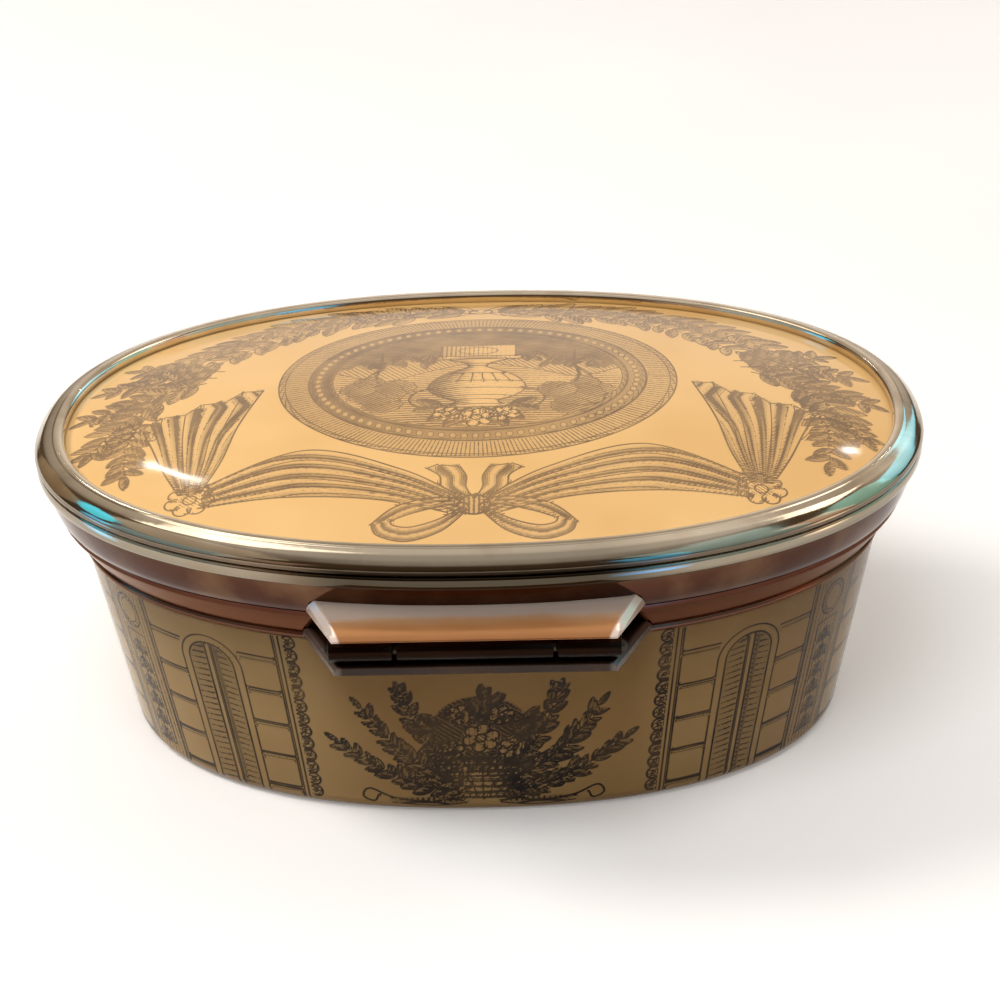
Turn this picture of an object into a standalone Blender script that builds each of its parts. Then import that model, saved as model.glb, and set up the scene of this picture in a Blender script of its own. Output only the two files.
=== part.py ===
# An oval enamelled box with a domed, hinged lid in polished metal mounts.
# The frame: +X along the oval, +Z up, the hinge on the -Y side, origin under the middle of the foot.
import bpy
import bmesh
from math import copysign, cos, pi, radians, sin

# Plan of the lid's rim, which every oval below is set in from
rim_length = 0.0570
rim_width = 0.0408
oval_power_share = 2.2  # 2 is a true ellipse, more is squarer
oval_sides = 60

# Fits
seam = 0.0003  # between pieces that are set or cemented together
closing_gap = 0.0003  # between the closed lid and the base
closing_clearance = 0.0003  # round the collar that the lid drops over

# Cup of the base: enamel outside, copper, enamel inside
wall_height = 0.0137  # foot to the upper edge of the outer enamel
wall_foot_inset = 0.00455
wall_top_inset = 0.00252
foot_corner_width = 0.00095
foot_corner_height = 0.00120
inner_corner_radius = 0.0003  # least round on a hidden corner of the layers
floor_fillet = 0.0010  # where the floor of the cup meets its wall
enamel_thickness = 0.00045
copper_thickness = 0.00040
lining_thickness = 0.00035
corner_steps = 3

# Mount of the base, a flared band under the parting line
base_mount_height = 0.0023
base_mount_foot_inset = 0.00245
base_mount_top_inset = 0.00115
base_mount_land = 0.00080  # width of its flat top

# Collar that stands up inside the base mount and covers the edge of the cup
collar_rise = 0.0013  # above the base mount
collar_thickness = 0.00045
collar_drop = 0.00035  # how far its flange is let into the base mount
collar_cover = 0.00015  # how far the flange passes the lining

# Mount of the lid, from its lower edge to the crest of its lip
moulding_depth = 0.00100  # inset of its lower edge from the rim
plate_seat_rise = 0.0015  # lower edge to the seat of the lid's plate
plate_edge_inset = 0.00140
lip_thickness = 0.00052
lip_reach = 0.00192  # inset of the lip's inner edge

# Domed plate of the lid
dome_rise = 0.00215
dome_power_share = 2.4
dome_ring_shares = (0.97, 0.86, 0.70, 0.50, 0.26)
inner_dome_ring_shares = (0.86, 0.60, 0.30)

# Hinge
pin_radius = 0.00035
pin_clearance = 0.00005
pin_end_rise = 0.00012  # round of the pin's ends
knuckle_radius = 0.00070
knuckle_seam = 0.0002  # between a knuckle and the leaf that carries it
knuckle_gap = 0.0002  # between neighbouring knuckles
centre_knuckle_length = 0.0090
side_knuckle_length = 0.0037
pin_standoff = 0.0010  # pin centre outside the rim
leaf_back_width = 0.0189
leaf_front_width = 0.0162
leaf_edge_bevel = 0.00010
lid_leaf_reach = 0.00085  # front edge beyond the pin
lid_leaf_edge = 0.00026  # thickness at the front edge
lid_leaf_step_rise = 0.00060  # height of the break in its top face
lid_leaf_step_in = 0.00060  # how far that break is behind the pin
lid_leaf_back_rise = 0.00100  # height where it meets the mount
base_leaf_reach = 0.00050
base_leaf_thickness = 0.00060
round_sides = 24

# Thumb lift at the front of the lid
lift_width = 0.0092
lift_reach = 0.00185  # beyond the rim
lift_thickness = 0.00080
lift_tilt = radians(7)
lift_rise = 0.00042  # its underside above the lid mount's lower edge
lift_bevel = 0.00024
lift_outline_steps = 14

# How far tools pass through what they cut, and hidden ends run on
overrun = 0.0012

# Moulding of the lid mount, outside, as shares of its depth and of its height from the lower edge
lid_moulding_shares = (
    (1.00, 0.000), (0.80, 0.137), (0.66, 0.275), (0.60, 0.400), (0.50, 0.475),
    (0.22, 0.503), (0.10, 0.553), (0.16, 0.602), (0.38, 0.630), (0.16, 0.657),
    (0.02, 0.707), (0.00, 0.764), (0.12, 0.832), (0.36, 0.893), (0.75, 0.948),
    (1.20, 0.984),
)
# Crest of the lip, as shares of its reach and of the lid mount's height
lip_crest_shares = ((0.81, 0.995), (0.94, 0.980), (1.00, 0.930))
# Outside of the base mount, as shares of the way from foot to top inset, and of its height
base_moulding_shares = (
    (-0.04, 0.00), (0.02, 0.10), (0.17, 0.22), (0.41, 0.42), (0.68, 0.66), (0.95, 0.90), (1.00, 1.00),
)

# Heights that follow from the sizes above
base_mount_foot = wall_height + seam
base_mount_top = base_mount_foot + base_mount_height
collar_flange_foot = base_mount_top - collar_drop
cup_rim = collar_flange_foot - seam
collar_top = base_mount_top + collar_rise
lid_mount_foot = base_mount_top + closing_gap
plate_seat = lid_mount_foot + plate_seat_rise
plate_stack = lining_thickness + seam + copper_thickness + seam + enamel_thickness
plate_foot = plate_seat + seam
plate_top = plate_foot + plate_stack
lip_foot = plate_top + seam
lip_height = lip_foot + lip_thickness
lid_mount_height = lip_height - lid_mount_foot

# Insets that follow
collar_inset = base_mount_top_inset + base_mount_land + seam
lid_bore_inset = collar_inset - closing_clearance
plate_bore_inset = plate_edge_inset - seam

# The hinge's axis
pin_out = rim_width / 2 + pin_standoff
pin_height = lid_mount_foot - knuckle_seam - knuckle_radius
pin_place = (0, -pin_out, pin_height)


def make_material(name, colour, roughness, metallic):
    material = bpy.data.materials.new(name)
    material.use_nodes = True
    shader = material.node_tree.nodes["Principled BSDF"]
    shader.inputs["Base Color"].default_value = (*colour, 1)
    shader.inputs["Roughness"].default_value = roughness
    shader.inputs["Metallic"].default_value = metallic
    material.diffuse_color = (*colour, 1)
    return material


def make_object(name, mesh_builder, material, smooth_angle=radians(35)):
    mesh_builder.normal_update()
    bmesh.ops.recalc_face_normals(mesh_builder, faces=mesh_builder.faces)
    mesh = bpy.data.meshes.new(name)
    mesh_builder.to_mesh(mesh)
    mesh_builder.free()
    mesh.shade_smooth()
    mesh.set_sharp_from_angle(angle=smooth_angle)
    mesh.materials.append(material)
    thing = bpy.data.objects.new(name, mesh)
    bpy.context.scene.collection.objects.link(thing)
    return thing


def oval_ring(mesh_builder, ring):
    # One ring of points; a ring of no size is a single point
    half_length, half_width, height = ring
    if half_length == 0:
        return [mesh_builder.verts.new((0, 0, height))]
    points = []
    for step in range(oval_sides):
        turn = 2 * pi * step / oval_sides
        across = copysign(abs(cos(turn)) ** (2 / oval_power_share), cos(turn))
        along = copysign(abs(sin(turn)) ** (2 / oval_power_share), sin(turn))
        points.append(mesh_builder.verts.new((half_length * across, half_width * along, height)))
    return points


def join_rings(mesh_builder, low, high):
    if len(low) < len(high):
        low, high = high, low
    count = len(low)
    for step in range(count):
        after = (step + 1) % count
        if len(high) == 1:
            mesh_builder.faces.new((low[step], low[after], high[0]))
        else:
            mesh_builder.faces.new((low[step], low[after], high[after], high[step]))


def inset_ring(inset, height):
    return (rim_length / 2 - inset, rim_width / 2 - inset, height)


def dome_ring(share, edge_height):
    # A ring of the domed plate: share 1 is its edge, 0 its crown
    height = edge_height + dome_rise * (1 - share ** dome_power_share)
    half_length = rim_length / 2 - plate_edge_inset
    half_width = rim_width / 2 - plate_edge_inset
    return (half_length * share, half_width * share, height)


def make_oval(name, rings, material, closed=False):
    # A solid through a row of oval rings: a closed row makes a ring-shaped piece
    mesh_builder = bmesh.new()
    loops = [oval_ring(mesh_builder, ring) for ring in rings]
    for low, high in zip(loops, loops[1:]):
        join_rings(mesh_builder, low, high)
    if closed:
        join_rings(mesh_builder, loops[-1], loops[0])
    else:
        for cap in (loops[0], loops[-1]):
            if len(cap) > 1:
                mesh_builder.faces.new(cap)
    return make_object(name, mesh_builder, material)


def make_turned(name, section, material, closed):
    # A round piece along X from its (place along X, radius) points
    mesh_builder = bmesh.new()
    loops = []
    for along, radius in section:
        loop = []
        for step in range(round_sides):
            turn = 2 * pi * step / round_sides
            loop.append(mesh_builder.verts.new((along, radius * cos(turn), radius * sin(turn))))
        loops.append(loop)
    for low, high in zip(loops, loops[1:]):
        join_rings(mesh_builder, low, high)
    if closed:
        join_rings(mesh_builder, loops[-1], loops[0])
    else:
        mesh_builder.faces.new(loops[0])
        mesh_builder.faces.new(loops[-1])
    return make_object(name, mesh_builder, material)


def wall_inset(height):
    # The outer face of the cup leans out from the foot to the upper edge
    share = (height - foot_corner_height) / (wall_height - foot_corner_height)
    return wall_foot_inset + (wall_top_inset - wall_foot_inset) * share


def cup_face(depth, top, round_width, round_height):
    # Rings from the floor to the top of one face of the cup, a depth inside its outer face
    middle_inset = wall_foot_inset + depth + round_width
    middle_height = depth + round_height
    rings = []
    for step in range(corner_steps + 1):
        turn = pi / 2 * step / corner_steps
        inset = middle_inset - round_width * sin(turn)
        rings.append(inset_ring(inset, middle_height - round_height * cos(turn)))
    rings.append(inset_ring(wall_inset(top) + depth, top))
    return rings


def layer_face(depth, top):
    round_width = max(foot_corner_width - depth, inner_corner_radius)
    round_height = max(foot_corner_height - depth, inner_corner_radius)
    return cup_face(depth, top, round_width, round_height)


def make_cup_layer(name, outer_depth, inner_face, top, material):
    outer_face = layer_face(outer_depth, top)
    return make_oval(name, outer_face + inner_face[::-1], material)


def base_mount_outside(offset=0):
    points = []
    for across_share, height_share in base_moulding_shares:
        inset = base_mount_foot_inset + (base_mount_top_inset - base_mount_foot_inset) * across_share
        points.append((inset - offset, base_mount_foot + base_mount_height * height_share))
    return points


def lid_mount_outside(offset=0):
    points = []
    for across_share, height_share in lid_moulding_shares:
        inset = moulding_depth * across_share
        points.append((inset - offset, lid_mount_foot + lid_mount_height * height_share))
    return points


def make_cutter(name, outside, material):
    # A solid a seam larger than a mount, which trims what is fitted to that mount
    low_inset, low_height = outside[0]
    high_inset, high_height = outside[-1]
    rings = [inset_ring(low_inset, low_height - overrun)]
    rings += [inset_ring(inset, height) for inset, height in outside]
    rings.append(inset_ring(high_inset, high_height + overrun))
    cutter = make_oval(name, rings, material)
    cutter.hide_render = True
    cutter.display_type = "WIRE"
    return cutter


def trim_to(thing, cutter):
    trim = thing.modifiers.new("fit_to_mount", "BOOLEAN")
    trim.operation = "DIFFERENCE"
    trim.solver = "EXACT"
    trim.object = cutter


def ease_edges(thing, width, segments):
    bevel = thing.modifiers.new("eased_edges", "BEVEL")
    bevel.width = width
    bevel.segments = segments
    bevel.limit_method = "ANGLE"


def make_leaf(name, section, cutter, material):
    # A hinge leaf from its (distance out from the pin, height) points: its ends draw in towards the front
    front_out = max(out for out, height in section)
    draw_in = (leaf_back_width - leaf_front_width) / 2 / (lid_leaf_reach + pin_standoff + moulding_depth)
    mesh_builder = bmesh.new()
    ends = []
    for side in (-1, 1):
        end = []
        for out, height in section:
            half_width = leaf_front_width / 2 + (front_out - out) * draw_in
            end.append(mesh_builder.verts.new((side * half_width, -out, height)))
        ends.append(end)
    join_rings(mesh_builder, ends[0], ends[1])
    mesh_builder.faces.new(ends[0])
    mesh_builder.faces.new(ends[1])
    leaf = make_object(name, mesh_builder, material)
    leaf.location = pin_place
    ease_edges(leaf, leaf_edge_bevel, 1)
    trim_to(leaf, cutter)
    return leaf


def make_knuckle(name, length, middle, material):
    bore = pin_radius + pin_clearance
    half = length / 2
    section = [(-half, bore), (-half, knuckle_radius), (half, knuckle_radius), (half, bore)]
    knuckle = make_turned(name, section, material, closed=True)
    knuckle.location = (middle, -pin_out, pin_height)
    return knuckle


def make_pin(name, material):
    half = centre_knuckle_length / 2 + knuckle_gap + side_knuckle_length + knuckle_gap
    end = half + pin_end_rise
    neck = pin_radius - pin_end_rise
    section = [(-end, neck), (-half, pin_radius), (half, pin_radius), (end, neck)]
    pin = make_turned(name, section, material, closed=False)
    pin.location = pin_place
    return pin


def make_thumb_lift(name, cutter, material):
    # A rounded tab, level at its root inside the mount and tilted up towards its edge
    root = rim_width / 2 - moulding_depth - overrun
    reach = lift_reach + moulding_depth
    mesh_builder = bmesh.new()
    outline = [(-lift_width / 2, 0), (lift_width / 2, 0)]
    for step in range(lift_outline_steps + 1):
        turn = pi * step / lift_outline_steps
        outline.append((lift_width / 2 * cos(turn), overrun + reach * sin(turn)))
    low = [mesh_builder.verts.new((across, out, 0)) for across, out in outline]
    high = [mesh_builder.verts.new((across, out, lift_thickness)) for across, out in outline]
    join_rings(mesh_builder, low, high)
    mesh_builder.faces.new(low)
    mesh_builder.faces.new(high)
    lift = make_object(name, mesh_builder, material)
    lift.location = (0, root, lid_mount_foot + lift_rise)
    lift.rotation_euler = (lift_tilt, 0, 0)
    ease_edges(lift, lift_bevel, 2)
    trim_to(lift, cutter)
    return lift


def make_base():
    enamel_face = layer_face(enamel_thickness, wall_height)
    make_cup_layer("cup_enamel", 0, enamel_face, wall_height, printed_enamel)
    copper_depth = enamel_thickness + seam
    copper_face = layer_face(copper_depth + copper_thickness, cup_rim)
    make_cup_layer("cup_copper", copper_depth, copper_face, cup_rim, copper)
    lining_depth = copper_depth + copper_thickness + seam
    lining_inner_depth = lining_depth + lining_thickness
    lining_face = cup_face(lining_inner_depth, cup_rim, floor_fillet, floor_fillet)
    make_cup_layer("cup_lining", lining_depth, lining_face, cup_rim, white_enamel)

    bore_depth = copper_depth - seam
    land_inset = base_mount_top_inset + base_mount_land
    mount_rings = [inset_ring(*point) for point in base_mount_outside()]
    mount_rings += [
        inset_ring(land_inset, base_mount_top),
        inset_ring(land_inset, cup_rim),
        inset_ring(wall_inset(cup_rim) + bore_depth, cup_rim),
        inset_ring(wall_inset(base_mount_foot) + bore_depth, base_mount_foot),
    ]
    make_oval("base_mount", mount_rings, lower_metal, closed=True)

    collar_inner = collar_inset + collar_thickness
    flange_inner = wall_inset(cup_rim) + lining_inner_depth + collar_cover
    flange_top = collar_flange_foot + collar_thickness
    collar_rings = [
        inset_ring(collar_inset, collar_flange_foot),
        inset_ring(collar_inset, collar_top),
        inset_ring(collar_inner, collar_top),
        inset_ring(collar_inner, flange_top),
        inset_ring(flange_inner, flange_top),
        inset_ring(flange_inner, collar_flange_foot),
    ]
    make_oval("closing_collar", collar_rings, bright_metal, closed=True)

    leaf_top = -knuckle_radius - knuckle_seam
    leaf_foot = leaf_top - base_leaf_thickness
    hidden_end = -pin_standoff - base_mount_foot_inset - overrun
    section = [
        (hidden_end, leaf_foot),
        (base_leaf_reach, leaf_foot),
        (base_leaf_reach, leaf_top),
        (hidden_end, leaf_top),
    ]
    cutter = make_cutter("base_mount_fit", base_mount_outside(seam), bright_metal)
    make_leaf("base_hinge_leaf", section, cutter, lower_metal)

    side_place = (centre_knuckle_length + side_knuckle_length) / 2 + knuckle_gap
    make_knuckle("knuckle_left", side_knuckle_length, -side_place, lower_metal)
    make_knuckle("knuckle_right", side_knuckle_length, side_place, lower_metal)
    make_pin("hinge_pin", steel)


def make_lid():
    cutter = make_cutter("lid_mount_fit", lid_mount_outside(seam), bright_metal)
    pieces = []

    mount_rings = [inset_ring(*point) for point in lid_mount_outside()]
    for across_share, height_share in lip_crest_shares:
        height = lid_mount_foot + lid_mount_height * height_share
        mount_rings.append(inset_ring(lip_reach * across_share, height))
    mount_rings += [
        inset_ring(lip_reach, lip_foot),
        inset_ring(plate_bore_inset, lip_foot),
        inset_ring(plate_bore_inset, plate_seat),
        inset_ring(lid_bore_inset, plate_seat),
        inset_ring(lid_bore_inset, lid_mount_foot),
    ]
    pieces.append(make_oval("lid_mount", mount_rings, bright_metal, closed=True))

    layers = (
        ("lid_lining", lining_thickness, inner_dome_ring_shares, white_enamel),
        ("lid_copper", copper_thickness, inner_dome_ring_shares, copper),
        ("lid_enamel", enamel_thickness, dome_ring_shares, printed_enamel),
    )
    foot = plate_foot
    for name, thickness, ring_shares, material in layers:
        face_shares = (0, *ring_shares[::-1], 1)
        under = [dome_ring(share, foot) for share in face_shares]
        over = [dome_ring(share, foot + thickness) for share in face_shares]
        pieces.append(make_oval(name, under + over[::-1], material))
        foot += thickness + seam

    leaf_foot = knuckle_radius + knuckle_seam
    hidden_end = -pin_standoff - moulding_depth - overrun
    section = [
        (hidden_end, leaf_foot),
        (lid_leaf_reach, leaf_foot),
        (lid_leaf_reach, leaf_foot + lid_leaf_edge),
        (-lid_leaf_step_in, leaf_foot + lid_leaf_step_rise),
        (-pin_standoff - moulding_depth, leaf_foot + lid_leaf_back_rise),
        (hidden_end, leaf_foot + lid_leaf_back_rise),
    ]
    pieces.append(make_leaf("lid_hinge_leaf", section, cutter, lower_metal))
    pieces.append(make_knuckle("knuckle_centre", centre_knuckle_length, 0, lower_metal))
    pieces.append(make_thumb_lift("thumb_lift", cutter, bright_metal))

    axis = bpy.data.objects.new("lid_axis", None)
    bpy.context.scene.collection.objects.link(axis)
    axis.location = pin_place
    for piece in pieces:
        piece.parent = axis
        piece.location = piece.location - axis.location


for old in list(bpy.data.objects):
    bpy.data.objects.remove(old, do_unlink=True)

printed_enamel = make_material("printed_enamel", (0.80, 0.56, 0.28), 0.15, 0)
white_enamel = make_material("white_enamel", (0.82, 0.79, 0.70), 0.20, 0)
copper = make_material("copper", (0.60, 0.27, 0.14), 0.40, 1)
bright_metal = make_material("bright_metal", (0.74, 0.70, 0.62), 0.18, 1)
lower_metal = make_material("lower_metal", (0.58, 0.40, 0.31), 0.25, 1)
steel = make_material("steel", (0.45, 0.44, 0.42), 0.35, 1)

make_base()
make_lid()
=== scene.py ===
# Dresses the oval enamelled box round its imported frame: printed enamel, polished mounts and the hinge.
import random
from math import cos, pi, radians, sin, tan
import bmesh
import bpy
import numpy as np
from mathutils import Matrix, Quaternion, Vector, kdtree


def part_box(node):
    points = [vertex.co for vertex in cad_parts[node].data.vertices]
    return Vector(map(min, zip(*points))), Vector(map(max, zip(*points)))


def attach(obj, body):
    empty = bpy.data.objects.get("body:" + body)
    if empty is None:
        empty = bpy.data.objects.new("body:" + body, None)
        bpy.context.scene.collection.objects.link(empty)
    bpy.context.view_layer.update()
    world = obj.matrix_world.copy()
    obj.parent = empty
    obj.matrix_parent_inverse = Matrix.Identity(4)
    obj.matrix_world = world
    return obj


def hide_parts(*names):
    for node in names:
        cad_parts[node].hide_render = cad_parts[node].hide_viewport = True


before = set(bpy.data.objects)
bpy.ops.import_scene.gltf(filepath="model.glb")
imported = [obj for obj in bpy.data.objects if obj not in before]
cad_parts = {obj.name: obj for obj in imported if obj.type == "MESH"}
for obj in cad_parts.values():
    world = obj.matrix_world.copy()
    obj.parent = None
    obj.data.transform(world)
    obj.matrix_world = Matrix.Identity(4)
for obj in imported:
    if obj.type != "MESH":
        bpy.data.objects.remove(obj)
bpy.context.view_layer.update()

mm = 0.001

# The view of the photograph
viewpoint = {
    "turn": radians(1.14),
    "elevation": radians(27.77),
    "roll": radians(-1.69),
    "distance": 145.5 * mm,
    "target": Vector((1.25, 0, 13.91)) * mm,
    "lens": 79.2,
    "sensor": 36,
}

# The oval that every ring of the box follows
oval = {
    "halfLength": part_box("lid_mount")[1].x / mm,
    "halfWidth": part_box("lid_mount")[1].y / mm,
    "power": 2.2,
    "sides": 288,
}


def linear(hexText):
    # An sRGB colour such as #F0C887 as the linear values that Blender works in
    values = [int(hexText[place:place + 2], 16) / 255 for place in (1, 3, 5)]
    return (*[v / 12.92 if v <= 0.04045 else ((v + 0.055) / 1.055) ** 2.4 for v in values], 1)


def plug(tree, node, inputs):
    # Fills sockets with values, colours such as #F0C887, sockets, or nodes whose first output is meant
    for key, value in inputs.items():
        if isinstance(value, str):
            value = linear(value)
        if isinstance(value, bpy.types.Node):
            value = value.outputs[0]
        if isinstance(value, bpy.types.NodeSocket):
            tree.links.new(value, node.inputs[key])
        else:
            node.inputs[key].default_value = value


def addNode(tree, kind, inputs=None, **settings):
    node = tree.nodes.new(kind)
    for name, value in settings.items():
        setattr(node, name, value)
    plug(tree, node, inputs or {})
    return node


def maths(tree, operation, *values):
    return addNode(tree, "ShaderNodeMath", dict(enumerate(values)), operation=operation)


def remap(tree, value, *limits):
    # Takes a value from one range to another: from low, from high, to low, to high
    return addNode(tree, "ShaderNodeMapRange", dict(enumerate((value, *limits))))


def noise(tree, place, scale, detail=2):
    return addNode(tree, "ShaderNodeTexNoise", {"Vector": place, "Scale": scale, "Detail": detail})


def mixed(tree, share, first, second, blend="MIX"):
    inputs = {0: share, 6: first, 7: second}
    return addNode(tree, "ShaderNodeMix", inputs, data_type="RGBA", blend_type=blend).outputs[2]


def bumped(tree, height, strength, distance, below=None):
    inputs = {"Height": height, "Strength": strength, "Distance": distance * mm}
    return addNode(tree, "ShaderNodeBump", inputs | ({"Normal": below} if below else {}))


def ramp(tree, factor, stops):
    # A colour ramp through (place, colour) stops, greys given as numbers
    node = addNode(tree, "ShaderNodeValToRGB", {0: factor})
    bar = node.color_ramp
    while len(bar.elements) < len(stops):
        bar.elements.new(1)
    for element, (place, colour) in zip(bar.elements, stops):
        element.position = place
        element.color = linear(colour) if isinstance(colour, str) else (colour, colour, colour, 1)
    return node


def attribute(tree, name):
    return addNode(tree, "ShaderNodeAttribute", attribute_name=name).outputs


def newMaterial(name):
    # Gives a material, its tree and shader, and the place on the piece in mm
    material = bpy.data.materials.new(name)
    material.use_nodes = True
    tree = material.node_tree
    tree.nodes.clear()
    shader = addNode(tree, "ShaderNodeBsdfPrincipled")
    addNode(tree, "ShaderNodeOutputMaterial", {"Surface": shader})
    place = addNode(tree, "ShaderNodeTexCoord").outputs["Object"]
    place = addNode(tree, "ShaderNodeVectorMath", {0: place, 1: (1 / mm,) * 3}, operation="MULTIPLY")
    return material, tree, shader, place


# Printed enamel: vitreous enamel fired on copper with a transfer print under the last clear coat.
# The eye gets a warm ground, brown engraver's lines with sharp edges, and one smooth glassy gloss over both.
enamelSizes = {
    "strokeReach": 0.15,  # mm from a stroke's middle at which its line must stop
    "edgeSoftness": 0.022,  # mm, the bleed of the ink
    "grain": 5.5,  # per mm, the bite of the plate
    "mottle": 0.35,  # per mm, uneven inking
    "groundDrift": 0.11,  # per mm, the slow change of the ground's colour
    "orangePeel": 0.55,  # per mm
    "orangePeelDepth": 0.006,  # mm
}


def printedEnamel(name, ground, groundShade, ink, hatchPitch, lineStrength, hatchStrength, mirror):
    size = enamelSizes
    soft, reach = size["edgeSoftness"], size["strokeReach"]
    material, tree, shader, place = newMaterial(name)
    # "stroke" holds the way aside from the nearest line, the distance to it and its half width;
    # "shade" holds the tone, the place across the hatching and the wash
    aside, away, half = addNode(tree, "ShaderNodeSeparateXYZ", {0: attribute(tree, "stroke")["Vector"]}).outputs
    tone, across, wash = addNode(tree, "ShaderNodeSeparateXYZ", {0: attribute(tree, "shade")["Vector"]}).outputs
    grain = noise(tree, place, size["grain"])
    mottle = noise(tree, place, size["mottle"], 3)

    beyond = maths(tree, "SUBTRACT", maths(tree, "ABSOLUTE", aside), half)
    near = remap(tree, away, reach, reach + soft, 1, 0)
    line = maths(tree, "MULTIPLY", remap(tree, beyond, -soft, soft, 1, 0), near)
    line = maths(tree, "MULTIPLY", line, lineStrength)

    row = maths(tree, "MULTIPLY", maths(tree, "PINGPONG", maths(tree, "DIVIDE", across, hatchPitch), 0.5), 2)
    row = maths(tree, "ADD", row, remap(tree, grain, 0.3, 0.7, -0.16, 0.16))
    hatch = remap(tree, maths(tree, "SUBTRACT", tone, row), -0.12, 0.16, 0, hatchStrength)

    inked = maths(tree, "MAXIMUM", maths(tree, "MAXIMUM", line, hatch), wash)
    inked = maths(tree, "MULTIPLY", inked, remap(tree, mottle, 0.3, 0.7, 0.78, 1))
    base = ramp(tree, noise(tree, place, size["groundDrift"]), ((0.35, groundShade), (0.65, ground)))
    plug(tree, shader, {
        "Base Color": mixed(tree, inked, base, ink),
        "Roughness": ramp(tree, mottle, ((0.35, 0.05), (0.7, 0.11))),
        "IOR": 1.5,
        "Specular IOR Level": mirror,
        "Normal": bumped(tree, noise(tree, place, size["orangePeel"], 1), 1, size["orangePeelDepth"]),
    })
    return material


def plainEnamel(name, ground, shade, pinhole):
    # Counter enamel: a dipped and fired off-white coat. Slightly wavy, glossy, with rare pinholes.
    material, tree, shader, place = newMaterial(name)
    wide = noise(tree, place, 0.22, 3)
    pits = addNode(tree, "ShaderNodeTexVoronoi", {"Vector": place, "Scale": 0.7, "Randomness": 1})
    pits = ramp(tree, pits.outputs["Distance"], ((0.03, 1.0), (0.055, 0.0)))
    plug(tree, shader, {
        "Base Color": mixed(tree, pits, ramp(tree, wide, ((0.35, shade), (0.65, ground))), pinhole),
        "Roughness": remap(tree, wide, 0.3, 0.7, 0.12, 0.24),
        "IOR": 1.54,
        "Normal": bumped(tree, noise(tree, place, 0.5, 1), 1, 0.012),
    })
    return material


# How close together a metal's hairlines are, per mm along x, y and z
buffedRound, filed, drawnTube, rolled = (0.35, 0.35, 14), (0.5, 0.5, 0.5), (0.3, 6, 6), (2, 2, 2)


def polishedMetal(name, low, high, stops, roughness, patina, grain=buffedRound, edge="#FFFFFF", bright=1.0,
                  stainDepth=0.42):
    # Buffed metal: soft wavy reflections, hairlines along the way it was drawn, and a colour by height whose
    # browner stops are painted shade and painted reflection in the hollows;
    # paler where the piece paints a highlight on its edges, and darker where it marks tarnish together with
    # painted shade
    material, tree, shader, place = newMaterial(name)
    wobble = noise(tree, place, 0.28, 3)
    height = addNode(tree, "ShaderNodeSeparateXYZ", {0: place}).outputs[2]
    height = maths(tree, "ADD", height, remap(tree, wobble, 0.3, 0.7, -0.05, 0.05))
    base = ramp(tree, remap(tree, height, low, high, 0, 1), stops)
    colour = mixed(tree, ramp(tree, wobble, ((0.45, 0.0), (0.78, stainDepth))), base, patina)
    # painted highlight on the edges that the piece marks
    colour = mixed(tree, attribute(tree, "painted_edge_highlight")["Fac"], colour, "#FFEFE6")
    # tarnish together with painted shade, multiplied in
    colour = mixed(tree, attribute(tree, "tarnish_and_shade")["Fac"], colour, "#6E6A62", "MULTIPLY")
    lines = addNode(tree, "ShaderNodeVectorMath", {0: place, 1: grain}, operation="MULTIPLY")
    lines = noise(tree, lines, 1)
    plug(tree, shader, {
        "Base Color": colour,
        "Metallic": bright,
        "Specular Tint": edge,
        "Roughness": remap(tree, lines, 0.3, 0.7, roughness * 0.8, roughness * 1.25),
        "Normal": bumped(tree, lines, 0.4, 0.001, bumped(tree, noise(tree, place, 0.6), 1, 0.010)),
    })
    return material


# The lid's print is pale and softly inked, the wall's is deeper and nearly black; the wall's cream ground is a
# little darker than the lid's as painted shade on the upright wall
lidPrint = printedEnamel("vitreous_enamel_lid_print", "#F4C988", "#ECBF7D", "#624D40", 0.30, 0.90, 0.86, 0.5)
wallPrint = printedEnamel("vitreous_enamel_wall_print", "#DEC28A", "#D2B47C", "#1C0E06", 0.36, 1.0, 0.96, 0.14)
counterEnamel = plainEnamel("counter_enamel_dipped", "#EFE6D0", "#E4D8BD", "#8A7A62")
# Each metal's stops run up its height from low to high, in mm.
# Rim and collar: nickel silver, drawn as a moulding and buffed. The lip and top keep the pale silvery metal;
# the beads are painted a little darker, and the red-brown cove and the dark lower roll are painted shade and
# painted reflection of a dark brown surface below.
rimMetal = polishedMetal("nickel_silver_buffed", 16.6, 21.05, (
    (0.0, "#472C23"), (0.36, "#503326"), (0.486, "#553D2E"), (0.502, "#958B79"), (0.685, "#9E9482"),
    (0.698, "#685B4D"), (0.762, "#6E6153"), (0.780, "#857A6A"), (0.82, "#B0A592"), (0.90, "#D4C9B6"),
    (1.0, "#E4D8C4")), 0.10, "#8E6E50")
# Band of the base: spun and buffed metal, its red-brown colour a painted reflection of a dark brown surface
# below, a little darker towards the top.
baseMetal = polishedMetal("buffed_metal_painted_brown_reflection", 14.0, 16.3, (
    (0.0, "#5E4034"), (0.10, "#64402F"), (0.5, "#603A2C"), (1.0, "#4E2E24")), 0.18, "#5E4030", edge="#E2D0C4")
# Hinge leaves: brass sheet, folded and filed, with a warm orange face; the near-black stops low down are
# painted shade on the base leaf, and the pale stops at the top are painted highlight along the fold.
leafMetal = polishedMetal("hinge_brass_filed", 15.0, 17.6, (
    (0.0, "#2C1C13"), (0.3, "#4A3020"), (0.62, "#A86E42"), (0.80, "#C88E5A"), (0.86, "#D6AA84"),
    (0.89, "#DECABC"), (1.0, "#F6E8DC")), 0.2, "#9A7050", filed, bright=0.45, stainDepth=0.12)
# Thumb lift: the rim's own metal, cut and filed
liftMetal = polishedMetal("nickel_silver_filed", 17, 19, (
    (0.0, "#A09280"), (1.0, "#C8BCA8")), 0.2, "#8E6E50", filed)
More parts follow.
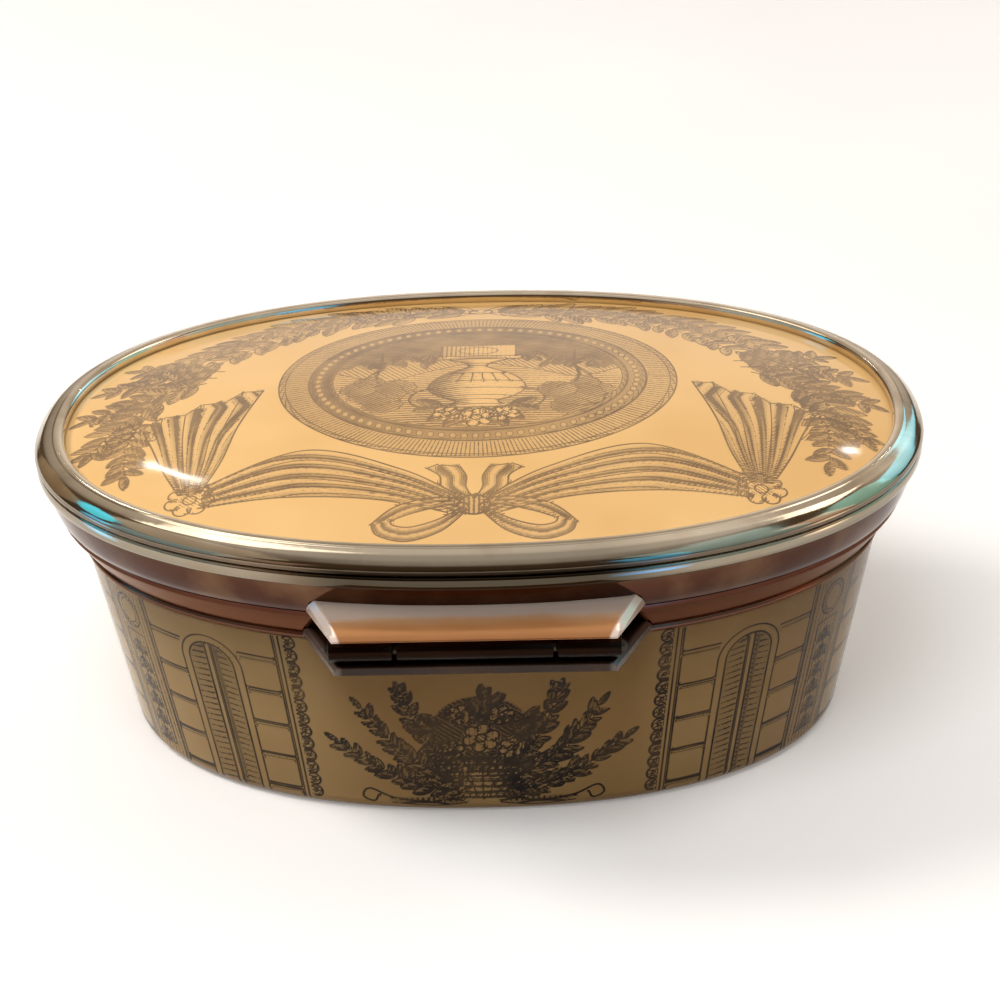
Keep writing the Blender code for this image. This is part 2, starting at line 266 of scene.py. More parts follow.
# Knuckles and pin: drawn tube, near black as painted shade under the leaf, and drawn steel wire, darkened as
# painted shade in the gaps between the knuckles.
barrelMetal = polishedMetal("hinge_tube_drawn_painted_shade", 15.0, 16.4, (
    (0.0, "#120A06"), (0.5, "#1E120C"), (1.0, "#2C1B12")), 0.3, "#2A1A12", drawnTube)
pinSteel = polishedMetal("steel_wire_drawn", 15, 16.4, (
    (0.0, "#332C26"), (1.0, "#453D36")), 0.35, "#2B231D", drawnTube)
# Copper: sheet, pressed to shape and left bare where the enamels hide it
bareCopper = polishedMetal("copper_sheet_bare", 0, 21, (
    (0.0, "#B4653F"), (1.0, "#C0744C")), 0.35, "#6E3F2A", rolled)
print("materials made")


def smoothRun(points, steps=6):
    # A smooth curve through its points, which it passes exactly
    points = np.array(points, float)
    last = len(points) - 1
    out = []
    for place in range(last):
        before, start, end, after = (points[min(max(place + shift, 0), last)] for shift in (-1, 0, 1, 2))
        for t in np.arange(steps) / steps:
            out.append(
                0.5 * (2 * start + (end - before) * t + (2 * before - 5 * start + 4 * end - after) * t * t
                       + (3 * start - before - 3 * end + after) * t ** 3)
            )
    return np.array([*out, points[-1]])


def raised(points, foot):
    # (inset, height above a foot) points as (inset, height)
    return [(inset, foot + height) for inset, height in points]


def ovalPoint(turn, inset=None, power=oval["power"]):
    # A point of the oval, or of the unit oval where no inset is given
    x, y = (np.sign(way) * np.abs(way) ** (2 / power) for way in (np.cos(turn), np.sin(turn)))
    return (x, y) if inset is None else ((oval["halfLength"] - inset) * x, (oval["halfWidth"] - inset) * y)


def ovalLevel(x, y):
    # 1 on the unit oval, less inside it
    return (np.abs(x) ** oval["power"] + np.abs(y) ** oval["power"]) ** (1 / oval["power"])


def bandReach(inset, across):
    # Half the width of the oval of an inset, at a place along the box
    share = np.abs(across) / (oval["halfLength"] - inset)
    return (oval["halfWidth"] - inset) * (1 - share ** oval["power"]) ** (1 / oval["power"])


def ovalTurningTree():
    # Sweeps a section, drawn as (inset, height), round the oval; each inset narrows both axes alike
    tree = bpy.data.node_groups.new("Oval Turning", "GeometryNodeTree")
    sockets = {"Section": "Geometry", "Half Length": "Float", "Half Width": "Float", "Power": "Float",
               "Sides": "Int", "Finish": "Material"}
    for name, kind in sockets.items():
        tree.interface.new_socket(name, in_out="INPUT", socket_type="NodeSocket" + kind)
    tree.interface.new_socket("Turned", in_out="OUTPUT", socket_type="NodeSocketGeometry")
    given = addNode(tree, "NodeGroupInput").outputs
    section = addNode(tree, "GeometryNodeMeshToCurve", {0: given["Section"]})
    wheel = addNode(tree, "GeometryNodeCurvePrimitiveCircle", {"Resolution": given["Sides"], "Radius": 1})
    swept = addNode(tree, "GeometryNodeCurveToMesh", {"Curve": wheel, "Profile Curve": section})
    parts = addNode(tree, "ShaderNodeSeparateXYZ", {0: addNode(tree, "GeometryNodeInputPosition")}).outputs
    flat = addNode(tree, "ShaderNodeCombineXYZ", {0: parts[0], 1: parts[1]})
    radius = addNode(tree, "ShaderNodeVectorMath", {0: flat}, operation="LENGTH").outputs["Value"]
    inset = maths(tree, "SUBTRACT", radius, 1)
    share = maths(tree, "DIVIDE", 2, given["Power"])
    moved = {2: maths(tree, "MULTIPLY", parts[2], -1)}
    for axis, half in enumerate(("Half Length", "Half Width")):
        way = maths(tree, "DIVIDE", parts[axis], radius)
        size = maths(tree, "POWER", maths(tree, "ABSOLUTE", way), share)
        size = maths(tree, "MULTIPLY", size, maths(tree, "SIGN", way))
        moved[axis] = maths(tree, "MULTIPLY", size, maths(tree, "SUBTRACT", given[half], inset))
    moved = addNode(tree, "ShaderNodeCombineXYZ", moved)
    turned = addNode(tree, "GeometryNodeSetPosition", {0: swept, "Position": moved})
    smooth = addNode(tree, "GeometryNodeSetShadeSmooth", {0: turned, "Shade Smooth": True})
    real = addNode(tree, "GeometryNodeRealizeInstances", {0: smooth})
    coloured = addNode(tree, "GeometryNodeSetMaterial", {0: real, "Material": given["Finish"]})
    addNode(tree, "NodeGroupOutput", {0: coloured})
    return tree


ovalTurning = ovalTurningTree()


def addObject(name, data):
    holder = bpy.data.objects.new(name, data)
    bpy.context.scene.collection.objects.link(holder)
    return holder


def newMesh(name, points, faces=(), edges=()):
    mesh = bpy.data.meshes.new(name)
    mesh.from_pydata([tuple(np.array(point) * mm) for point in points], edges, faces)
    return mesh


def finishMesh(name, mesh, material, sharp=radians(40)):
    # Joins doubles, turns every face outward and gives the mesh an object at the origin
    builder = bmesh.new()
    builder.from_mesh(mesh)
    bmesh.ops.remove_doubles(builder, verts=builder.verts, dist=0.0005 * mm)
    bmesh.ops.recalc_face_normals(builder, faces=builder.faces)
    bare = [edge for edge in builder.edges if not edge.link_faces]
    bmesh.ops.delete(builder, geom=bare, context="EDGES")
    builder.to_mesh(mesh)
    builder.free()
    mesh.materials.clear()
    mesh.materials.append(material)
    mesh.shade_smooth()
    mesh.set_sharp_from_angle(angle=sharp)
    mesh.name = name
    return addObject(name, mesh)


def turnOval(name, section, material, radius=None, sides=None, place=None):
    # A ring-shaped piece from its closed section of (inset, height) points in mm: an oval one, or a round one
    # of a radius
    edges = [(i, (i + 1) % len(section)) for i in range(len(section))]
    outline = newMesh(name, [(inset, height, 0) for inset, height in section], edges=edges)
    holder = addObject(name + ".section", outline)
    modifier = holder.modifiers.new("turning", "NODES")
    modifier.node_group = ovalTurning
    values = {
        "Half Length": (radius or oval["halfLength"]) * mm,
        "Half Width": (radius or oval["halfWidth"]) * mm,
        "Power": 2 if radius else oval["power"],
        "Sides": sides or oval["sides"],
        "Finish": material,
    }
    for item in ovalTurning.interface.items_tree:
        if item.name in values:
            modifier[item.identifier] = values[item.name]
    mesh = bpy.data.meshes.new_from_object(holder.evaluated_get(bpy.context.evaluated_depsgraph_get()))
    bpy.data.objects.remove(holder, do_unlink=True)
    bpy.data.meshes.remove(outline)
    mesh.transform(place or Matrix())
    return finishMesh(name, mesh, material)


def stitch(faces, fine, coarse):
    # Joins a ring to the next: of equal count, of a count that divides it, or a single point
    count = len(fine)
    after = [*fine[1:], fine[0]]
    if len(coarse) == 1:
        faces += [(near, far, coarse[0]) for near, far in zip(fine, after)]
    elif len(coarse) == count:
        faces += [*zip(fine, after, [*coarse[1:], coarse[0]], coarse)]
    else:
        ratio = count // len(coarse)
        faces += [(fine[i], after[i], coarse[i // ratio]) for i in range(count)]
        for i in range(len(coarse)):
            following = (i + 1) % len(coarse)
            faces.append((fine[following * ratio % count], coarse[following], coarse[i]))


def skinColumns(name, columns, material, sharp=radians(30)):
    # A solid through closed sections that have the same number of points; both ends are capped
    count = len(columns[0])
    points = [point for column in columns for point in column]
    faces = [tuple(range(count)), tuple(range(len(points) - count, len(points)))]
    for start in range(0, len(points) - count, count):
        for step in range(count):
            after = (step + 1) % count
            faces.append((start + step, start + after, start + count + after, start + count + step))
    return finishMesh(name, newMesh(name, points, faces), material, sharp)


def ringSolid(name, rings, material):
    # A solid through oval rings of (half length, half width, height) in mm, closed to a point at both ends
    points, loops, faces = [], [], []
    unit = np.stack(ovalPoint(np.linspace(0, 2 * pi, 240, endpoint=False)), 1)
    for halfLength, halfWidth, height in rings:
        start = len(points)
        plan = unit * (halfLength, halfWidth) if halfLength > 0 else [(0, 0)]
        points += [(*spot, height) for spot in plan]
        loops.append(list(range(start, len(points))))
    for low, high in zip(loops, loops[1:]):
        stitch(faces, *((high, low) if len(low) == 1 else (low, high)))
    return finishMesh(name, newMesh(name, points, faces), material)


def vertexVectors(mesh, name):
    values = np.zeros(len(mesh.vertices) * 3, np.float32)
    mesh.vertices.foreach_get(name, values)
    return values.reshape(-1, 3)


def writeAttribute(mesh, name, values):
    # One number for each vertex, or three
    kind, field = ("FLOAT_VECTOR", "vector") if values.ndim == 2 else ("FLOAT", "value")
    mesh.attributes.new(name, kind, "POINT").data.foreach_set(field, values.astype(np.float32).ravel())


def dress(piece, body, node):
    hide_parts(node)
    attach(piece, body)
    print("made", piece.name, len(piece.data.polygons), "faces")


# Lid mount: its moulding in mm, from the foot up the outside and over the lip
lidMount = {
    "foot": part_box("lid_mount")[0].z / mm - 0.09,
    "crest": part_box("lid_mount")[1].z / mm,
    # (inset, height above the foot)
    "cove": ((1.02, 0.10), (0.84, 0.45), (0.66, 1.00), (0.50, 1.65), (0.40, 2.18)),
    "bead": ((0.34, 2.24), (0.15, 2.32), (0.06, 2.52), (0.04, 2.78), (0.10, 3.04), (0.28, 3.15)),
    "roll": ((0.27, 3.18), (0.07, 3.25), (0.0, 3.46), (0.07, 3.70), (0.28, 3.94), (0.62, 4.22), (1.06, 4.38)),
    "slope": ((1.20, 4.41), (1.32, 4.46)),
    # (inset, height above the crest)
    "lip": ((1.54, -0.01), (1.74, -0.05), (1.88, -0.18), (1.93, -0.36)),
    "lipFoot": 20.36,
    "plateBore": 1.30,
    "plateSeat": 18.15,
    "boreInset": 1.95,
    # Near the hinge on the front the mount is darkened: tarnish together with painted shade
    "tarnishAndShadeFrom": 13.5,  # mm to either side of the hinge's middle, where it starts
    "tarnishAndShadeFade": 6.5,
    # (height above the foot, depth of the tarnish and painted shade)
    "tarnish_and_shade": ((2.15, 0.0), (2.32, 0.88), (3.16, 0.88), (3.20, 1.0), (3.49, 1.0), (3.57, 0.2), (3.75, 0.2),
                (4.1, 0.38), (4.5, 0.38)),
}


def makeLidMount():
    size = lidMount
    foot, bore = size["foot"], size["boreInset"]
    lip = raised(size["slope"], foot) + raised(size["lip"], size["crest"])
    section = [
        *smoothRun(raised(size["cove"], foot), 5),
        *smoothRun(raised(size["bead"], foot), 6),
        *smoothRun(raised(size["roll"], foot), 7),
        *smoothRun(lip, 6),
        (lip[-1][0], size["lipFoot"]), (size["plateBore"], size["lipFoot"]),
        (size["plateBore"], size["plateSeat"]), (bore, size["plateSeat"]), (bore, foot + 0.08),
        (bore - 0.06, foot + 0.01), (1.12, foot + 0.01), (1.05, foot + 0.04),
    ]
    piece = turnOval("lid_mount_band", section, rimMetal)
    x, y, z = vertexVectors(piece.data, "co").T / mm
    # Tarnish with painted shade, deepest at the hinge's middle on the front
    near = np.clip((size["tarnishAndShadeFrom"] - np.abs(x)) / size["tarnishAndShadeFade"], 0, 1) * (y < 0)
    depth = np.interp(z - foot, *zip(*size["tarnish_and_shade"])) * near ** 2 * (3 - 2 * near)
    writeAttribute(piece.data, "tarnish_and_shade", depth)
    dress(piece, "lid", "lid_mount")


# Base mount: its flared band, as (inset, height above the foot) in mm
baseMount = {
    "foot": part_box("base_mount")[0].z / mm,
    "top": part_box("base_mount")[1].z / mm + 0.12,
    "edge": ((2.52, -0.24), (2.38, -0.16), (2.36, 0.02), (2.44, 0.16)),
    "flare": ((2.40, 0.26), (2.22, 0.52), (1.92, 0.98), (1.57, 1.52), (1.26, 1.98), (1.16, 2.16)),
    "shelf": 15.70,
}


def makeBaseMount():
    foot, top, shelf = baseMount["foot"], baseMount["top"], baseMount["shelf"]
    section = [
        *smoothRun(raised(baseMount["edge"], foot), 5),
        *smoothRun(raised(baseMount["flare"], foot), 6),
        (1.20, top - 0.03), (1.26, top), (2.20, top), (2.20, shelf), (2.78, shelf), (2.98, foot - 0.24),
    ]
    dress(turnOval("base_mount_band", section, baseMetal), "base", "base_mount")


# Collar that the lid closes over, in mm
collar = {
    "outer": 2.25,
    "thickness": 0.45,
    "top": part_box("closing_collar")[1].z / mm,
    "foot": 15.95,
    "flange": 4.0,
}


def makeCollar():
    outer, thickness, top, foot, flange = collar.values()
    inner, flangeTop = outer + thickness, foot + thickness
    edge = [(outer + 0.03, top - 0.09), (outer + 0.12, top), (inner - 0.12, top), (inner - 0.03, top - 0.09)]
    section = [
        (outer, foot), (outer, top - 0.2), *smoothRun(edge, 4), (inner, top - 0.2),
        (inner, flangeTop + 0.1), (inner + 0.1, flangeTop), (flange - 0.08, flangeTop),
        (flange, flangeTop - 0.1), (flange, foot + 0.06), (flange - 0.06, foot),
    ]
    dress(turnOval("closing_collar_ring", section, rimMetal), "base", "closing_collar")


makeLidMount()
makeBaseMount()
makeCollar()

# Artwork is drawn flat, in mm, on a sheet: strokes are lines of ink, tones are areas of hatching or wash
inkStep = 0.06  # mm between the points that a stroke is measured from
noTone = -0.4  # too pale for any hatching


def newSheet(shadeVeil=None):
    # A shade veil is a wash of painted shade over the whole sheet, shadeVeil(a, b) from 0 to 1
    return {"strokes": [], "tones": [], "shadeVeil": shadeVeil}


def draw(sheet, points, width, taper=0.0):
    # A line of ink of a half width, which may narrow by a share towards its end
    sheet["strokes"].append((np.array(points, float), width, taper))


def upright(a, b):
    return a


def hatchArea(sheet, inside, tone, wash=0.0, rows=upright, box=None):
    # inside(a, b) is 0 to 1; tone and wash may be functions; rows(a, b) counts mm across the hatching
    def lay(a, b, tones, counts, washes):
        near = slice(None)
        if box is not None:
            near = np.nonzero((a > box[0][0]) & (a < box[1][0]) & (b > box[0][1]) & (b < box[1][1]))[0]
        a, b = a[near], b[near]
        mask = inside(a, b)
        for values, value in ((tones, tone), (washes, wash)):
            values[near] = values[near] * (1 - mask) + (value(a, b) if callable(value) else value) * mask
        counts[near] = np.where(mask > 0.3, rows(a, b), counts[near])
    sheet["tones"].append(lay)


def ellipse(middle, reach, start=0.0, end=2 * pi, steps=72):
    turns = np.linspace(start, end, steps + 1)
    return np.stack((middle[0] + reach[0] * np.cos(turns), middle[1] + reach[1] * np.sin(turns)), 1)


def softStep(values, width=0.12):
    return np.clip(0.5 - np.asarray(values) / width, 0, 1)


def insideEllipse(middle, reach):
    return lambda a, b: softStep(
        (np.hypot((a - middle[0]) / reach[0], (b - middle[1]) / reach[1]) - 1) * min(reach))


def insideBox(low, high):
    return lambda a, b: softStep(
        np.maximum(np.maximum(low[0] - a, a - high[0]), np.maximum(low[1] - b, b - high[1])))


def lengthAlong(points):
    # The length walked along a line up to each of its points
    return np.concatenate(([0], np.cumsum(np.hypot(*np.diff(points, axis=0).T))))


def searchTree(points):
    tree = kdtree.KDTree(len(points))
    for number, point in enumerate(points):
        tree.insert((*point, 0)[:3], number)
    tree.balance()
    return tree


def leaf(sheet, base, angle, length, width, ink, tone):
    # A pointed leaf with a vein: its lower half is dark, its upper half is left light
    base = np.array(base, float)
    along = np.linspace(0, 1, 11)
    bulge = width / 2 * (4 * along * (1 - along)) ** 0.75 * (1.18 - 0.36 * along)
    edge = np.concatenate((np.stack((along, bulge), 1), np.stack((along, -bulge), 1)[::-1]))
    turn = np.array(((cos(angle), sin(angle)), (-sin(angle), cos(angle))))
    draw(sheet, edge * (length, 1) @ turn + base, ink)
    draw(sheet, np.array(((0.0, 0), (0.85 * length, 0))) @ turn + base, ink * 0.7, 0.5)

    def off(a, b):
        return (b - base[1]) * cos(angle) - (a - base[0]) * sin(angle)

    def inside(a, b):
        on = ((a - base[0]) * cos(angle) + (b - base[1]) * sin(angle)) / length
        half = width / 2 * np.clip(4 * on * (1 - on), 0, 1) ** 0.75
        return softStep(np.abs(off(a, b)) - half, 0.1) * (half > 0.02)

    hatchArea(sheet, inside, lambda a, b: tone * (0.25 + 0.9 * (off(a, b) * cos(angle) < 0)), 0.55 * tone,
              lambda a, b: a * cos(angle + 1) + b * sin(angle + 1), (base - length, base + length))


def branch(sheet, spine, gap, leafLength, leafWidth, ink, spread, tone, chance):
    # A leafy branch: leaves in pairs along a smooth stem, smaller towards the tip, none quite alike
    spine = smoothRun(spine, 10)
    draw(sheet, spine, ink * 1.4, 0.6)
    steps = lengthAlong(spine)
    way = 0.0

    def stemAt(place):
        return np.array([np.interp(place, steps, spine[:, axis]) for axis in (0, 1)])
    for place in np.arange(gap * 0.6, steps[-1], gap):
        base = stemAt(place)
        if place + 0.3 < steps[-1]:
            way = np.arctan2(*(stemAt(place + 0.3) - base)[::-1])
        for side in (-1, 1):
            size = (1 - 0.32 * place / steps[-1]) * chance.uniform(0.8, 1.15)
            turn = way + side * spread * chance.uniform(0.8, 1.25)
            leaf(sheet, base, turn, leafLength * size, leafWidth * size, ink, tone * chance.uniform(0.65, 1.25))
    leaf(sheet, spine[-1], way, leafLength * 0.7, leafWidth * 0.6, ink, tone)


def rosette(sheet, middle, radius, petals, ink):
    # A flower of open petals round a small heart
    middle = np.array(middle, float)
    draw(sheet, ellipse(middle, (radius * 0.28, radius * 0.28), steps=16), ink)
    for petal in range(petals):
        turn = 2 * pi * petal / petals + 0.3
        out = middle + radius * 0.66 * np.array((cos(turn), sin(turn)))
        draw(sheet, ellipse(out, (radius * 0.36, radius * 0.36), turn - 2.0, turn + 2.0, 20), ink)
    hatchArea(sheet, insideEllipse(middle, (radius * 0.5, radius * 0.5)), 0.35, rows=lambda a, b: a + b)


def cloth(sheet, upper, lower, folds, hem, ink):
    # Gathered cloth between two edges: each fold is dark beside its line and pales across its width.
    # Its end runs in a zigzag where it has a hem.
    upper, lower = smoothRun(upper, 60), smoothRun(lower, 60)
    way = (upper[-1] + lower[-1] - upper[-20] - lower[-20]) / 2
    way = way / np.hypot(*way)
    ends = []
    for fold in range(folds + 1):
        share = (fold + 0.16 * sin(fold * 2.6) * (0 < fold < folds)) / folds
        line = upper * (1 - share) + lower * share
        ends.append(line[-1] + way * hem * (0.5 if fold % 2 else 0.0))
        draw(sheet, [*line, ends[-1]], ink * (1.35 if fold in (0, folds) else 1.0))
    if hem:
        draw(sheet, ends, ink * 1.2)
    middle = (upper + lower) / 2
    steps = lengthAlong(middle)
    reach = np.hypot(*(upper - lower).T).max() / 2 + 0.3
    out = np.array((lower[-1][1] - upper[-1][1], upper[-1][0] - lower[-1][0]))
    out = out / np.hypot(*out)
    out = out if np.dot(out, way) > 0 else -out
    tree = searchTree(middle)
    sides = []
    for line, other in ((upper, lower), (lower, upper)):
        ahead = np.gradient(line, axis=0)
        inward = np.stack((-ahead[:, 1], ahead[:, 0]), 1)
        inward *= np.sign(np.einsum("ij,ij->i", inward, other - line))[:, None]
        sides.append((searchTree(line), line, inward))

    def outside(point):
        for side, line, inward in sides:
            number = side.find((*point, 0))[1]
            if np.dot(point - line[number], inward[number]) < 0:
                return True
        return False

    def placeOn(a, b):
        # How far each point is across the cloth, as a share, and along it in mm; -1 off the cloth
        shares, along = np.full(len(a), -1.0), np.zeros(len(a))
        low, high = middle.min(0) - reach, middle.max(0) + reach
        for place in np.nonzero((a > low[0]) & (a < high[0]) & (b > low[1]) & (b < high[1]))[0]:
            point = np.array((a[place], b[place]))
            _, number, away = tree.find((*point, 0))
            beyond = np.dot(point - upper[-1], out) - hem * 0.25
            before = np.dot(point - middle[0], middle[1] - middle[0])
            if away > reach or (number > len(middle) * 0.6 and beyond > 0) or (number == 0 and before < 0):
                continue
            if outside(point):
                continue
            edge = lower[number] - upper[number]
            shares[place] = np.clip(np.dot(point - upper[number], edge) / np.dot(edge, edge), 0, 1)
            along[place] = steps[number]
        return shares, along

    def lay(a, b, tones, counts, washes):
        share, along = placeOn(a, b)
        mask = softStep(np.abs(share - 0.5) - 0.47, 0.07)
        fold = np.mod(share * folds, 1)
        fold = np.clip(1.16 - fold * 1.9, 0, 1) ** 0.8 + 0.5 * np.clip(fold * 6 - 5.2, 0, 1)
        fold = fold * (0.72 + 0.28 * np.abs(2 * along / steps[-1] - 1))
        tones[:] = tones * (1 - mask) + (1.15 * fold + 0.02) * mask
        washes[:] = washes * (1 - mask) + (0.86 * fold + 0.08) * mask
        counts[:] = np.where(mask > 0.3, share * 4.4 + 0.03 * along, counts)
    sheet["tones"].append(lay)


def printOnto(mesh, sheet, a, b, spot):
    # Writes the sheet into the mesh, whose first vertices are at (a, b) of the sheet: how far each one is from
    # the nearest stroke, and its tone. spot(a, b) is the place on the piece, in mm, of a point of the sheet.
    total, count = len(mesh.vertices), len(a)
    normals = vertexVectors(mesh, "normal")[:count]
    places = vertexVectors(mesh, "co")[:count].astype(float) / mm
    spots, ways, widths = [], [], []
    for points, width, taper in sheet["strokes"]:
        along = lengthAlong(points)
        steps = np.linspace(0, along[-1], max(int(along[-1] / inkStep), 3) + 1)
        line = spot(np.interp(steps, along, points[:, 0]), np.interp(steps, along, points[:, 1]))
        way = np.gradient(line, axis=0)
        spots.append(line)
        ways.append(way / np.maximum(np.linalg.norm(way, axis=1), 1e-9)[:, None])
        widths.append(width * (1 - taper * steps / along[-1]))
    spots, ways, widths = np.concatenate(spots), np.concatenate(ways), np.concatenate(widths)
    tree = searchTree(spots)
    nearest, away = np.zeros(count, int), np.zeros(count)
    for number, point in enumerate(places):
        _, nearest[number], away[number] = tree.find(point)
    beside = np.einsum("ij,ij->i", np.cross(normals, ways[nearest]), places - spots[nearest])
    stroke = np.tile((9.0, 9.0, 0.0), (total, 1))  # far from any ink
    stroke[:count] = np.stack((beside, away, widths[nearest]), 1)

    tones, counts, washes = np.full(count, noTone), np.zeros(count), np.zeros(count)
    for lay in sheet["tones"]:
        lay(a, b, tones, counts, washes)
    if sheet["shadeVeil"]:
        washes = 1 - (1 - washes) * (1 - sheet["shadeVeil"](a, b))
    shade = np.tile((noTone, 0.0, 0.0), (total, 1))
    shade[:count] = np.stack((tones, counts, washes), 1)
    writeAttribute(mesh, "stroke", stroke)
    writeAttribute(mesh, "shade", shade)


# Plate of the lid: a domed oval, printed all over its top
lidPlate = {
    "low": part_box("lid_enamel")[0].z / mm,
    "high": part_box("lid_enamel")[1].z / mm,
    "halfLength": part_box("lid_enamel")[1].x / mm,
    "halfWidth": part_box("lid_enamel")[1].y / mm,
    "thickness": 0.45,
    "domePower": 2.4,
    "columns": 330,
    "rows": 232,
    # Rings of the underside: their share of the size, and how many points of the ring before give one
    "underside": ((0.9985, 1), (0.985, 4), (0.9, 2), (0.7, 1), (0.45, 1), (0.2, 2)),
}


def plateHeight(x, y, drop=0.0):
    # Height in mm of the domed plate at a place of its plan
    size = lidPlate
    share = ovalLevel(x / size["halfLength"], y / size["halfWidth"])
    edge = size["low"] + size["thickness"]
    return edge + (size["high"] - edge) * (1 - np.minimum(share, 1) ** size["domePower"]) - drop


# What grows and hangs on the right half of the lid, in mm; the left half mirrors it
lidFoliage = (
    # stem, gap between leaves, length and width of a leaf, how far leaves spread, tone
    (((0.6, -14.2), (6, -15.2), (12, -13.6), (17, -10.0), (21.2, -5.6)), 1.25, 2.9, 1.35, 0.75, 0.8),
    (((4.0, -13.6), (9.5, -12.4), (14.0, -9.6), (17.2, -6.4)), 1.15, 2.3, 1.05, 0.8, 0.7),
    (((17.0, -4.6), (19.5, -5.4), (22.6, -6.6)), 0.98, 2.3, 1.0, 0.85, 1.0),
    (((17.4, -3.6), (20.6, -4.2), (24.2, -3.6)), 0.98, 2.3, 1.0, 0.85, 1.0),
    (((18.0, -2.8), (21.4, -1.6), (25.0, 0.4)), 0.98, 2.3, 1.0, 0.85, 1.0),
    (((20.6, -1.2), (22.8, 2.0), (24.2, 5.4)), 0.98, 2.3, 1.0, 0.85, 1.0),
    (((21.4, 1.8), (22.0, 5.0), (21.6, 8.8)), 0.98, 2.3, 1.0, 0.85, 1.0),
)
lidCloths = (
    # upper edge, lower edge, folds, hem: the swag, its tail, and the bow's loop and ends
    (((1.0, 15.3), (6.0, 13.6), (11.6, 12.9), (16.4, 13.2)),
     ((0.9, 13.6), (4.4, 10.7), (10.4, 8.0), (16.2, 11.0)), 5, 0.0),
    (((16.5, 11.6), (15.6, 8.4), (15.0, 4.2), (13.9, -0.6)),
     ((17.9, 11.6), (19.2, 8.8), (20.3, 5.8), (21.3, 3.2)), 6, 1.6),
    (((0.4, 14.9), (1.9, 16.7), (3.9, 17.5), (5.6, 16.9), (6.0, 15.9)),
     ((0.4, 14.4), (2.1, 15.7), (3.7, 16.3), (4.7, 16.1), (4.9, 15.7)), 2, 0.0),
    (((0.5, 14.2), (2.2, 14.6), (3.7, 15.1), (4.9, 15.7)),
     ((0.5, 13.8), (2.5, 13.7), (4.6, 14.4), (6.0, 15.9)), 2, 0.0),
    (((0.1, 13.7), (0.5, 12.7), (0.5, 11.6), (0.9, 10.6)),
     ((0.7, 13.5), (1.9, 12.6), (2.1, 11.5), (2.9, 10.7)), 2, 0.9),
)


